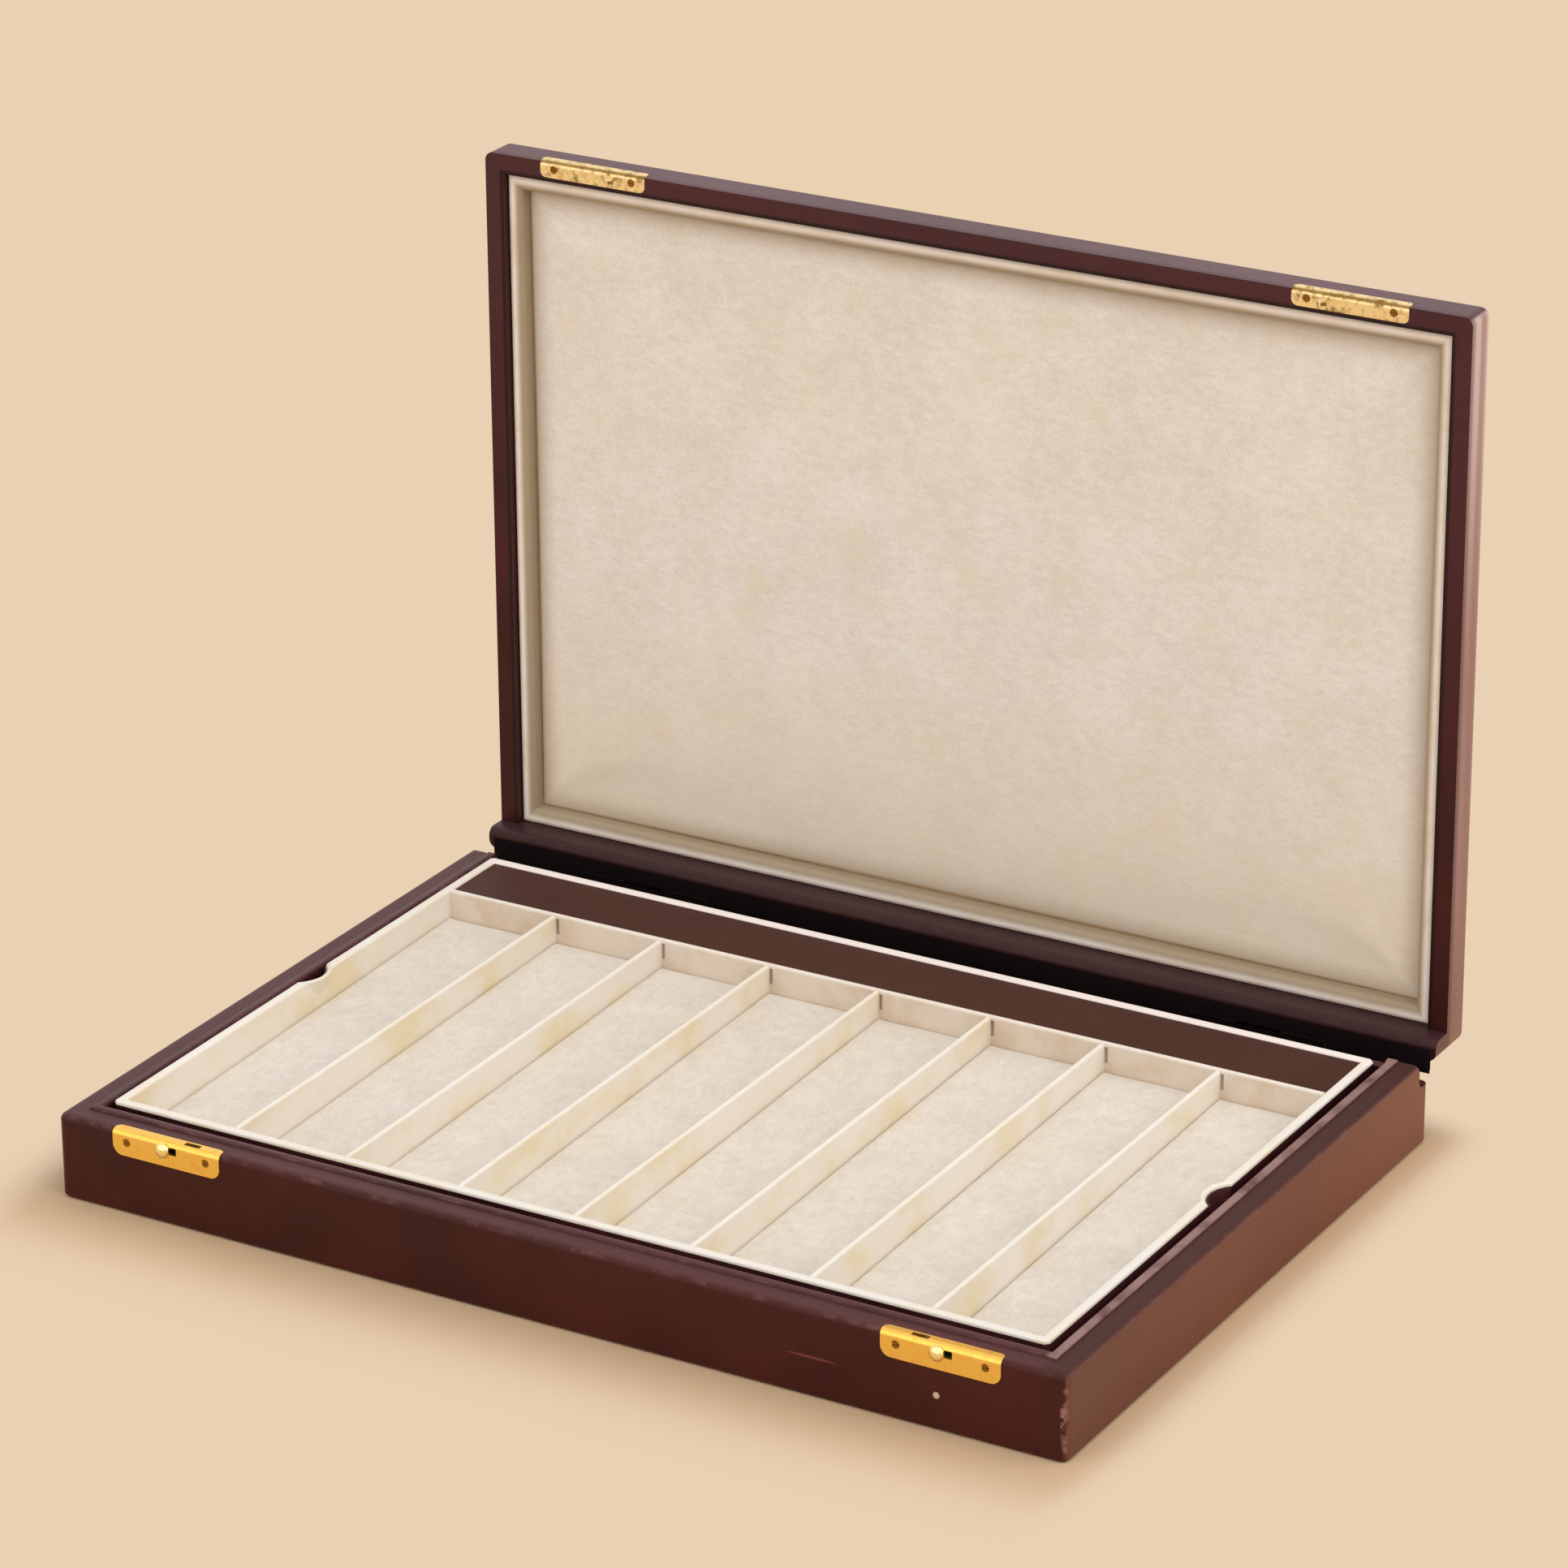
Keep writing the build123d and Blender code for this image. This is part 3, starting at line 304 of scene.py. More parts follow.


# %% Wear and painted light and shade
def base_wear_and_painted_light(place):
    """Masks with their colours, placed in millimetres. Wear: a corner rubbed through in specks, a
    nick under the right latch and a long faint scratch. Painted light and shade: painted shade on
    the up-facing ledge on the right, and on the right-hand side painted shade towards the front
    and painted light towards the rear."""
    specks = noise(place, 4.5, detail=4.0, roughness=0.7).between(0.42, 0.6)
    corner = near(place, 184.2, -127.2, 15.5, radius_mm=17.0, stretch=(8.0, 8.0, 1.0))
    nick = near(place, 140.5, -128.0, 12.1, radius_mm=1.7)
    scratch = near(place, 97.0, -128.0, 13.8, radius_mm=11.5, stretch=(1.0, 1.0, 17.0))
    # painted shade on the up-facing ledge on the right
    ledge = facing(place, 2).between(0.6, 1.0) * along(place, 0).between(174.0 * MM, 178.0 * MM)
    # painted shade towards the front and painted light towards the rear of the right-hand side
    beside, depth = outer_right(place), along(place, 1)
    towards_front = beside * depth.between(-20.0 * MM, -125.0 * MM)
    towards_rear = beside * depth.between(20.0 * MM, HALF_DEPTH)
    return ((corner.between(0.0, 0.35) * specks * 0.8, colour(158, 112, 106)),
            (nick.between(0.1, 0.5), colour(205, 178, 158)),
            (scratch.between(0.0, 0.4) * 0.6, colour(132, 66, 54)),
            (ledge * 0.7, colour(62, 32, 27)),
            (towards_front * 0.5, colour(98, 62, 50)),
            (towards_rear * 0.5, colour(142, 94, 70)))


def beyond(place, node):
    """Metres outside a node's outline seen from the front, below 0 inside it: the larger of
    |x - its middle| - half its width and |z - its middle| - half its height."""
    low, high = (np.array(corner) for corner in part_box(node))
    half, middle = (high - low) / 2, (high + low) / 2
    sideways, upright = [(along(place, axis) - float(middle[axis])).size() - float(half[axis])
                         for axis in (0, 2)]
    return sideways.most(upright)


def lid_painted_light(place):
    """Painted light and shade on the lid. Its right-hand side gets a painted mauve sheen that pales
    to painted highlights towards its upper end and its rear edge, with a darker painted band
    between; its upper front faces get a painted plum sheen; its front edge and the bar along the
    hinges get painted shade; and next to the cream frame the painted shade is nearly black."""
    height, depth = along(place, 2), along(place, 1)
    beside = outer_right(place)
    ahead = facing(place, 1).between(-0.5, -0.95)
    bar = height.between(37.0 * MM, 34.0 * MM) * (1.0 - beside)
    # painted shade next to the cream frame
    shade_beside_frame = beyond(place, "lid_rim_frame").between(1.9 * MM, 0.6 * MM)
    front_edge = depth.between(145.2 * MM, 142.2 * MM) * (1.0 - ahead)
    streak = depth.between(147.0 * MM, 149.2 * MM) * depth.between(153.0 * MM, 151.0 * MM)
    return ((beside * height.between(30.0 * MM, 110.0 * MM) * 0.8, colour(164, 126, 120)),
            (beside * height.between(150.0 * MM, 275.0 * MM) * 0.9, colour(216, 190, 186)),
            (beside * streak * 0.6, colour(148, 110, 102)),
            (beside * depth.between(152.6 * MM, 155.0 * MM) * 0.7, colour(214, 186, 170)),
            (ahead * height.between(90.0 * MM, 275.0 * MM) * 0.55, colour(84, 48, 53)),
            (front_edge * 0.6, colour(72, 42, 44)),
            (bar * 0.6, colour(40, 17, 17)),
            (shade_beside_frame * ahead * 0.85, colour(24, 8, 7)))


def collar_painted_highlight(place):
    """A painted highlight, in patches, along the collar's top on the right."""
    patches = noise(place, 14.0, detail=4.0).between(0.2, 0.6)
    # the mask named rubbed here is the painted highlight
    rubbed = along(place, 0).between(173.0 * MM, 175.0 * MM) * patches
    return ((facing(place, 2).between(0.3, 0.9) * rubbed * 0.8, colour(168, 134, 128)),)


DEEP, LIGHT, MAUVE_SHEEN = colour(57, 19, 15), colour(72, 27, 21), colour(92, 55, 57)
base_leather = leather("base_leather", DEEP, LIGHT, MAUVE_SHEEN, rub=0.4, gloss=0.64,
                       lit_right_side=colour(122, 73, 56), marks_and_painted_light=base_wear_and_painted_light)
lid_leather = leather("lid_leather", DEEP, LIGHT, colour(114, 83, 88), rub=0.3, gloss=0.66,
                      lit_right_side=colour(160, 116, 100), marks_and_painted_light=lid_painted_light)
collar_leather = leather("collar_leather", colour(58, 24, 26), colour(78, 38, 40), MAUVE_SHEEN,
                         rub=0.35, gloss=0.74, marks_and_painted_light=collar_painted_highlight)
ledge_skin = leather("ledge_skin", colour(60, 29, 23), colour(80, 43, 34), colour(72, 40, 32),
                     rub=0.1, gloss=0.5)

# %% [markdown]
# ## Cream lining
# The rims, walls and dividers are wrapped in a smooth cream skin. It is warmer in tone than
# the pads, yellows a little in places, and shows a faint grain and small dimples of glue. Shade
# is painted into the groove between the lid's frame and its panel, so both are darker near the
# panel's outline, and highlights are painted along the crests and the tray's rear rim.

# %% The painted shade in the groove round the lid's panel
def groove(place):
    """1 in the groove between the lid's frame and its panel, where shade is painted, fading out
    over 4 mm of the frame and 10 mm of the panel."""
    outside = beyond(place, "lid_panel")
    return outside.between(-10.0 * MM, -0.5 * MM) * outside.between(3.8 * MM, 1.4 * MM)


# %% The cream lining
# the colour of the painted highlight on the tray's rear rim
REAR_RIM_HIGHLIGHT = colour(255, 242, 238)


def cream(name, pale, warm, grey, top_highlight, shade=None):
    """Smooth lining: a pale tone drifting to a warm one, painted highlights along the crests that
    look up and along the tray's rear rim, which the lid shades, a little grey dust, painted shade
    in the groove where a shade is given, and a soft grain."""
    material, place = start(name)
    drift = noise(place, 22.0, detail=5.0, roughness=0.6, stretch=(1.0, 0.6, 1.0))
    tone = blend(drift.between(0.42, 0.68), pale, warm)
    # painted highlight on the faces that look up
    tone = blend(facing(place, 2).between(0.4, 1.0) * 0.7, tone, top_highlight)
    depth = along(place, 1)
    # painted highlight along the tray's rear rim, in the lid's shadow
    rear_rim = depth.between(108.0 * MM, 112.0 * MM) * depth.between(125.0 * MM, 120.0 * MM)
    tone = blend(rear_rim * 0.8, tone, REAR_RIM_HIGHLIGHT)
    dust = noise(place, 7.0, detail=6.0, roughness=0.75).between(0.55, 0.8)
    tone = blend(dust * 0.35, tone, grey)
    # painted shade in the groove beside the lid's panel
    if shade:
        tone = blend(groove(place) * 0.9, tone, shade)
    grain = noise(place, 0.9, detail=4.0)
    dimples = noise(place, 5.0, detail=2.0)
    return finish(place, material, grain * 0.5 + dimples * 1.2, 0.08,
                  {"Base Color": tone, "Roughness": 0.62 + grain * 0.2}, Specular_IOR_Level=0.3)


# the colour of the painted highlight on faces that look up
PAINTED_TOP_HIGHLIGHT = colour(250, 243, 235)
cream_lining = cream("cream_lining", colour(238, 230, 218), colour(233, 218, 185),
                     colour(222, 210, 196), PAINTED_TOP_HIGHLIGHT)
# a darker copy of the lining: painted shade on the ledge wall, which faces away from the light
shaded_ledge_lining = cream("shaded_ledge_lining", colour(226, 211, 194), colour(214, 194, 170),
                     colour(190, 173, 154), PAINTED_TOP_HIGHLIGHT)
frame_lining = cream("frame_lining", colour(250, 238, 225), colour(240, 224, 204),
                     colour(216, 201, 184), colour(240, 228, 216), shade=colour(160, 139, 110))

# %% [markdown]
# ## Suede
# The pads are covered in suede, a leather split so that its fibres stand up. Brushed one way
# it looks light and the other way dark, so a hand that passed over it leaves soft clouds.
# Clouds of several sizes make those strokes, a fine fleck makes the fibres, and a sheen
# catches the light along the fibres' tips.

# %% The suede
# the colour of the painted warm light from below
WARM_BOUNCE_LIGHT = colour(242, 222, 192)


def suede(name, light, shade, warm, cloud_mm, contrast, border_shade=None):
    """Napped suede: clouds of light and dark nap, warm stains, painted warm light from below
    towards the foot and painted shade along the border where a tone for it is given, and fibres
    as a fine fleck in the colour and in the bump. contrast is how much the clouds show, from 0 to
    1."""
    material, place = start(name)
    clouds = noise(place, cloud_mm, detail=6.0, roughness=0.6)
    brushed = noise(place, cloud_mm * 0.2, detail=5.0, roughness=0.7, stretch=(1.0, 0.7, 2.0))
    fleck = noise(place, 0.9, detail=3.0, roughness=0.7)
    nap = clouds * 0.28 + brushed * 0.37 + fleck * 0.35
    tone = blend(nap.between(0.32, 0.66) * contrast + (1.0 - contrast) * 0.5, shade, light)
    stain = noise(place, cloud_mm * 0.6, detail=4.0, roughness=0.6).between(0.5, 0.75)
    tone = blend(stain * 0.5, tone, warm)
    # painted warm light from below, yellower towards the foot, and painted shade along the border
    if border_shade:
        foot = along(place, 2).between(140.0 * MM, 40.0 * MM)
        tone = blend(foot * 0.55, tone, WARM_BOUNCE_LIGHT)
        tone = blend(groove(place) * 0.55, tone, border_shade)
    height = fleck * 0.7 + brushed * 0.8
    return finish(place, material, height, 0.16,
                  {"Base Color": tone, "Roughness": 0.86 + fleck * 0.12},
                  Specular_IOR_Level=0.15, Sheen_Weight=0.25, Sheen_Roughness=0.4)


panel_suede = suede("panel_suede", colour(243, 237, 229), colour(222, 211, 199),
                    colour(232, 219, 192), cloud_mm=26.0, contrast=0.85, border_shade=colour(184, 164, 136))
pad_suede = suede("pad_suede", colour(239, 232, 222), colour(218, 208, 196),
                  colour(234, 221, 194), cloud_mm=15.0, contrast=1.0)

# %% [markdown]
# ## Brass, steel, board and felt
# The plates are thin polished brass. Polishing leaves fine scratches, handling leaves dull
# patches, and lacquer darkens where an edge is worn. The boards inside, the springs and the
# cloth underneath are hardly seen, but they come into view when the lid or tray moves.

# %% The metals
def metal(name, bright, dull, roughness, dulling):
    """Polished metal: a bright tone, duller in patches and along edges, with fine scratches.
    dulling is how much of the dull tone shows."""
    material, place = start(name)
    patches = noise(place, 3.2, detail=5.0, roughness=0.7).between(0.45, 0.75)
    scratches = noise(place, 0.35, detail=2.0, stretch=(0.12, 1.0, 1.0))
    worn = (patches * 0.6 + rounded_edges(place) * 0.5) * dulling
    tone = blend(worn, bright, dull)
    gloss = roughness + scratches * 0.12 + worn * 0.18
    return finish(place, material, scratches + patches * 0.5, 0.012,
                  {"Base Color": tone, "Roughness": gloss}, Metallic=1.0)


METALS = {
    "polished_brass": (colour(252, 203, 98), colour(242, 163, 60), 0.22, 0.7),
    "pale_brass": (colour(250, 222, 162), colour(146, 112, 60), 0.34, 1.9),
    # the knobs' brass is a paler copy of the plates' brass: a painted highlight
    "knob_brass": (colour(255, 232, 160), colour(238, 200, 110), 0.14, 0.4),
    "screw_brass": (colour(150, 104, 44), colour(84, 52, 22), 0.34, 1.0),
    # near black: painted shade on the hinge parts that sit in the dark gap behind the tray
    "blackened_brass": (colour(22, 17, 16), colour(12, 9, 9), 0.6, 1.0),
    "spring_steel": (colour(190, 190, 192), colour(140, 138, 136), 0.25, 0.7),
}
brass, pale_brass, knob_brass, screw_brass, shadow_black_brass, steel = [
    metal(name, *recipe) for name, recipe in METALS.items()]


# %% The board and the felt
def fibre(name, pale, dark, size_mm, depth_mm):
    """Matted fibres, as in board or felt: flecks of two tones over slow clouds, and no gloss."""
    material, place = start(name)
    flecks = noise(place, size_mm, detail=6.0, roughness=0.8, stretch=(1.0, 0.4, 1.0))
    clouds = noise(place, 40.0, detail=2.0)
    tone = blend((flecks * 0.7 + clouds * 0.3).between(0.3, 0.7), dark, pale)
    return finish(place, material, flecks, depth_mm,
                  {"Base Color": tone, "Roughness": 0.9 + flecks * 0.08}, Specular_IOR_Level=0.1)


board = fibre("carcase_board", colour(176, 148, 112), colour(140, 110, 78), 1.6, 0.1)
felt = fibre("underside_felt", colour(74, 50, 46), colour(44, 26, 24), 1.1, 0.25)
# near black cloth: painted shadow on the joint strip and the tapes between lid and base
shadow_black_cloth = fibre("shadow_black_cloth", colour(26, 14, 15), colour(14, 7, 8), 0.8, 0.15)

# %% [markdown]
# ## Dressing the measured nodes
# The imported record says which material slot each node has, and one finish goes on every node
# of a slot. A few nodes get their own: the collar is a thinner, shinier skin than the cover,
# the ledge strip is browner, the screws are darker than the plates that they hold, and the
# tray's floor is lined as its walls are, because it shows between the walls and the pads.

# %% One finish for each slot, and the exceptions
SLOT_FINISH = {
    "burgundy_leather": base_leather, "cream_lining": cream_lining, "cream_suede": pad_suede,
    "carcase_board": board, "underside_cloth": felt,
    "polished_brass": brass, "blackened_brass": shadow_black_brass, "spring_steel": steel,
}
OWN_FINISH = {
    "base_collar": collar_leather, "lid_cover": lid_leather, "lid_rim_frame": frame_lining,
    "lid_joint_strip": shadow_black_cloth, "latch_screws": screw_brass, "catch_screws": screw_brass,
    "tray_outer_band": collar_leather, "tray_floor": cream_lining,
    "tray_ledge_wall": shaded_ledge_lining, "tray_ledge_leather": ledge_skin,
}
for side in ("left", "right"):
    # the hinge pins are near black, painted shade in that gap
    OWN_FINISH[f"hinge_pin_{side}"] = shadow_black_brass
    OWN_FINISH[f"catch_plate_{side}"] = OWN_FINISH[f"catch_hook_{side}"] = pale_brass
for name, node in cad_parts.items():
    for held in node.material_slots:
        slot_name = held.material.name.split(".")[0]
        held.material = OWN_FINISH.get(name) or SLOT_FINISH[slot_name]
print("dressed", len(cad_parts), "nodes")

# %% [markdown]
# ## A pad before it is filled
# A thin pad is a sheet of foam under suede, glued down flat and rounded off at its sides. Its
# top rises steeply from the outline and then runs nearly level, and its sides pull in a
# little between the corners. That is one height over a grid, so numpy works out all its
# points at once. A second, flat grid closes it underneath.

# %% The grid of a pad
def eased(count):
    """Numbers s (1 - (1 - |t|)^2) from -1 to 1, s being the sign of an even step t. They crowd
    towards both ends, where a pad's side turns over."""
    even = np.linspace(-1.0, 1.0, count)
    return np.sign(even) * (1.0 - (1.0 - np.abs(even)) ** 2.0)


STEEPNESS = 0.4


def crown(across, lengthways, side, fullness):
    """Height of a pad from 0 to 1. Each direction gives (1 - |t|^side)^STEEPNESS, steep at the
    edge and level inside, and a low dome, fullness times (1 - t^2), is added over the whole."""
    edge = ((1.0 - np.abs(across) ** side) * (1.0 - np.abs(lengthways) ** side)) ** STEEPNESS
    dome = (1.0 - across**2) * (1.0 - lengthways**2)
    return edge * (1.0 - fullness + fullness * dome)


def pad_points(half_across, half_lengthways, thickness, counts, pull, side, fullness):
    """Points of a closed pad lying on the plane z = 0: the crowned grid, then the flat one.
    The outline is the rectangle, drawn in by pull half way along each side."""
    across, lengthways = np.meshgrid(eased(counts[0]), eased(counts[1]), indexing="ij")
    x = half_across * across - pull * across * (1.0 - lengthways**2)
    y = half_lengthways * lengthways - pull * lengthways * (1.0 - across**2)
    top = thickness * crown(across, lengthways, side, fullness)
    upper = np.stack([x, y, top], axis=-1).reshape(-1, 3)
    lower = np.stack([x, y, np.zeros_like(x)], axis=-1).reshape(-1, 3)
    return np.concatenate([upper, lower])


def pad_faces(counts):
    """Quads of both grids. The top runs anticlockwise seen from above and the bottom clockwise,
    so that both face outwards."""
    corner = (np.arange(counts[0] - 1)[:, None] * counts[1] + np.arange(counts[1] - 1)).ravel()
    top = np.stack([corner, corner + counts[1], corner + counts[1] + 1, corner + 1], axis=1)
    below = top[:, ::-1] + counts[0] * counts[1]
    return np.concatenate([top, below])


def evaluated(piece):
    """A new mesh of a piece as its modifiers leave it."""
    graph = bpy.context.evaluated_depsgraph_get()
    return bpy.data.meshes.new_from_object(piece.evaluated_get(graph))


def make_mesh(name, points, faces, material):
    """A smooth mesh from arrays of points and faces, its doubled outline merged into one."""
    mesh = bpy.data.meshes.new(name)
    mesh.from_pydata(points.tolist(), [], faces.tolist())
    piece = bpy.data.objects.new(name, mesh)
    bpy.context.scene.collection.objects.link(piece)
    bpy.context.view_layer.objects.active = piece
    weld = piece.modifiers.new("weld", "WELD")
    weld.merge_threshold = 0.02 * MM
    welded = evaluated(piece)
    piece.modifiers.clear()
    piece.data = welded
    bpy.data.meshes.remove(mesh)
    welded.name = name
    welded.shade_smooth()
    welded.materials.clear()
    welded.materials.append(material)
    return piece


inward = crown(np.array([1.0, 0.99, 0.9, 0.0]), 0.0, 60.0, 0.1)
print("a pad's height at its edge, a little way in, further in and in the middle:", inward.round(2))

# %% [markdown]
# ## Foam that fills its cover
# A real pad takes its form from the foam that pushes its cover outwards, and Blender's Cloth
# can do the same. The pad starts a little too thin, its outline is held as if it were glued,
# and twenty frames of pressure without gravity let it fill out. How far a point may move is
# capped, and sideways it stops at the outline, so that no pad grows out of its place. Only
# the moved points are kept, and one subdivision smooths the finished pad.

# %% The cover of a pad, and what the pressure does to it
FRAMES = 20
PRESSURE = 2.0
CAP = 0.6 * MM


def cover_of(points, counts):
    """The upper grid of a pad as a mesh of its own, with its outline in the group `glued`."""
    size = counts[0] * counts[1]
    index = np.arange(size).reshape(counts)
    outline = np.concatenate([index[0], index[-1], index[1:-1, 0], index[1:-1, -1]])
    faces = pad_faces(counts)
    cover = bpy.data.objects.new("cover", bpy.data.meshes.new("cover"))
    cover.data.from_pydata(points[:size].tolist(), [], faces[:len(faces) // 2].tolist())
    bpy.context.scene.collection.objects.link(cover)
    cover.vertex_groups.new(name="glued").add(outline.tolist(), 1.0, "REPLACE")
    return cover


def swollen(cover):
    """Where the cover's points are after the last frame. The cover is taken away again."""
    cloth = cover.modifiers.new("cloth", "CLOTH")
    cloth.settings.use_pressure = True
    cloth.settings.uniform_pressure_force = PRESSURE
    cloth.settings.effector_weights.gravity = 0.0
    cloth.settings.vertex_group_mass = "glued"
    cloth.collision_settings.use_collision = False
    for number in range(1, FRAMES + 1):
        bpy.context.scene.frame_set(number)
    mesh = evaluated(cover)
    places = np.empty(len(mesh.vertices) * 3)
    mesh.vertices.foreach_get("co", places)
    for done in (mesh, cover.data):
        bpy.data.meshes.remove(done)
    bpy.context.scene.frame_set(1)
    return places.reshape(-1, 3)


# %% Filling a pad
def filled(points, counts):
    """Points of a pad once its cover has swollen. Where cloth moves a point by m, it ends up
    moved by m / (1 + |m| / CAP), which is nearly m for a small m and never more than the cap.
    Its x and y then stay between the lowest and highest of the outline."""
    result = points.copy()
    upper = result[:counts[0] * counts[1]]
    moved = swollen(cover_of(points, counts)) - upper
    distance = np.linalg.norm(moved, axis=1, keepdims=True)
    upper += moved / (1.0 + distance / CAP)
    upper[:, :2] = np.clip(upper[:, :2], points[:, :2].min(axis=0), points[:, :2].max(axis=0))
    return result


def smoothed(pad):
    """One subdivision, the same in the viewport as in a render."""
    subdivision = pad.modifiers.new("subdivision", "SUBSURF")
    subdivision.levels = 1
    subdivision.render_levels = 1
    return pad


print("a pad is filled in", FRAMES, "frames and grows by less than", CAP / MM, "mm")

# %% [markdown]
# ## The eight compartment pads
# Each pad lies on a sloping floor, lower at the front, so that a watch leans towards the
# viewer. The node's box says where it is: its lowest corner is the front of its underside and
# its highest the rear of its top, and the difference less the thickness is the slope.

# %% The compartment pads
PAD_THICKNESS = 2.5 * MM
UNFILLED = 0.8
PAD_COUNTS = (28, 72)


def compartment_pad(number):
    """One filled pad, tilted about its left-right axis by adding slope times y. Its form starts
    at the share UNFILLED of the pad's thickness."""
    node = f"tray_pad_{number}"
    low, high = (np.array(corner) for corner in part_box(node))
    middle, half = (low + high) / 2, (high - low) / 2
    points = pad_points(half[0], half[1], UNFILLED * PAD_THICKNESS, PAD_COUNTS,
                        pull=0.1 * MM, side=60.0, fullness=0.1)
    points = filled(points, PAD_COUNTS)
    slope = (high[2] - low[2] - PAD_THICKNESS) / (2 * half[1])
    points[:, 2] += slope * (points[:, 1] + half[1])
    points += [middle[0], middle[1], low[2]]
    pad = smoothed(make_mesh(f"suede_pad_{number}", points, pad_faces(PAD_COUNTS), pad_suede))
    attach(pad, "tray")
    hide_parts(node)
    return pad


pads = [compartment_pad(number) for number in range(1, 9)]
print("pads made:", len(pads), "with", len(pads[0].data.polygons), "faces each")

# %% [markdown]
# ## The panel in the lid
# The lid's inside is one large pad, set inside the cream frame. It is the same form, stood
# upright: its plane faces the viewer, so the formula's height runs towards the front.

# %% The lid panel
PANEL_COUNTS = (84, 64)


def lid_pad():
    """The filled pad set upright: its x stays, its y becomes z, and its height becomes -y. It
    starts thinner than its node by the cap, the most that it can grow."""
    low, high = (np.array(corner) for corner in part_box("lid_panel"))
    middle, half = (low + high) / 2, (high - low) / 2
    flat = pad_points(half[0], half[2], 2 * half[1] - CAP, PANEL_COUNTS,
                      pull=0.5 * MM, side=50.0, fullness=0.04)
    x, y, height = filled(flat, PANEL_COUNTS).T
    points = np.stack([x + middle[0], high[1] - height, y + middle[2]], axis=1)
    panel = smoothed(make_mesh("suede_lid_panel", points, pad_faces(PANEL_COUNTS), panel_suede))
    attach(panel, "lid")
    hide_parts("lid_panel")
    return panel


lid_panel = lid_pad()
print("lid panel faces:", len(lid_panel.data.polygons))

# %% [markdown]
# ## The latch knobs
# Each knob is a small turned button with a domed face, on a round neck that runs back into the
# latch. A turned form is one outline of (distance from the axis, depth) carried round a circle,
# so the whole surface is an outer product of the outline with sines and cosines.

# %% The turned knobs
NECK_RADIUS = 1.2 * MM
HEAD_HEIGHT = 2.2 * MM
DOMED_SHARE = 0.75
KNOB_SIDES = 48


def knob_outline(radius, length):
    """(distance, depth) from the middle of the face to the end of the neck. The face is a quarter
    ellipse, distance = radius sin(t) and depth = dome (1 - cos(t)), followed by a short
    straight side, the flat back and the neck."""
    turn = np.linspace(0.0, np.pi / 2, 16)
    deep = DOMED_SHARE * HEAD_HEIGHT * (1.0 - np.cos(turn))
    dome = np.stack([radius * np.sin(turn), deep], axis=1)
    side = [[radius, 0.9 * HEAD_HEIGHT], [0.96 * radius, HEAD_HEIGHT]]
    neck = [[NECK_RADIUS, HEAD_HEIGHT], [NECK_RADIUS, length], [0.0, length]]
    return np.concatenate([dome, side, neck])


def turned(outline, sides):
    """Points and faces of a form of revolution about the y axis, its first end towards -y."""
    angle = np.linspace(0.0, 2 * np.pi, sides + 1)
    x = np.outer(np.cos(angle), outline[:, 0])
    z = np.outer(np.sin(angle), outline[:, 0])
    y = np.broadcast_to(outline[:, 1], x.shape)
    points = np.stack([x, y, z], axis=-1).reshape(-1, 3)
    count = len(outline)
    corner = (np.arange(sides)[:, None] * count + np.arange(count - 1)).ravel()
    faces = np.stack([corner, corner + 1, corner + count + 1, corner + count], axis=1)
    return points, faces


def latch_knob(side):
    """One knob in its slider's place: its axis through the middle of the node's box, its face at
    the front of that box and its neck as long as the node."""
    node = f"latch_knob_{side}"
    low, high = (np.array(corner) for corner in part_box(node))
    radius = (high[0] - low[0]) / 2
    outline = knob_outline(radius, high[1] - low[1])
    points, faces = turned(outline, KNOB_SIDES)
    points = points + [(low[0] + high[0]) / 2, low[1], (low[2] + high[2]) / 2]
    knob = make_mesh(f"turned_knob_{side}", points, faces, knob_brass)
    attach(knob, f"{side}_latch_slider")
    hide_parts(node)
    return knob


knobs = [latch_knob(side) for side in ("left", "right")]
print("knobs made:", len(knobs), "with", len(knobs[0].data.polygons), "faces each")

# %% [markdown]
# ## The black tapes along the hinges
# The lid's black joint strip is finished with stiff tape, so that no light shows between the
# lid and the base; strip and tape are near black, a painted shadow over the gap there. Beside
# the hinges the tape hangs a little below the strip as a hem, and over each hinge two short tapes
# bend round the barrel. Those are parts of a thin tube round the hinge's own axis, so they turn
# about it with the lid and never meet the barrel.

# %% A tape, its outline carried along x
def tape(name, rear_side, front_side, x_low, x_high, count=12):
    """A closed strip. Its outline of (y, z) points goes along the rear side and back along the
    front side, which have as many points each, and is repeated at even places along x."""
    outline = np.concatenate([rear_side, front_side])
    size = len(outline)
    x = np.broadcast_to(np.linspace(x_low, x_high, count)[:, None, None], (count, size, 1))
    points = np.concatenate([x, np.broadcast_to(outline, (count, size, 2))], axis=2).reshape(-1, 3)
    ring, step = np.arange(count - 1)[:, None] * size, np.arange(size)
    following = (step + 1) % size
    around = np.stack([ring + step, ring + following,
                       ring + size + following, ring + size + step], axis=2)
    rung = np.arange(size // 2 - 1)
    left_end = np.stack([rung, size - 1 - rung, size - 2 - rung, rung + 1], axis=1)
    right_end = left_end[:, ::-1] + (count - 1) * size
    faces = np.concatenate([around.reshape(-1, 4), left_end, right_end])
    made = make_mesh(name, points, faces, shadow_black_cloth)
    made.data.shade_flat()
    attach(made, "lid")
    return made


# %% The bent tapes and the hems
INSIDE_RADIUS, OUTSIDE_RADIUS = 3.07 * MM, 3.45 * MM
BEND_START, BEND_END = np.radians([20.0, 105.0])
HANGS, REACHES_UP = 1.3 * MM, 2.3 * MM
SKIN = 0.05 * MM
CLEAR = 0.15 * MM


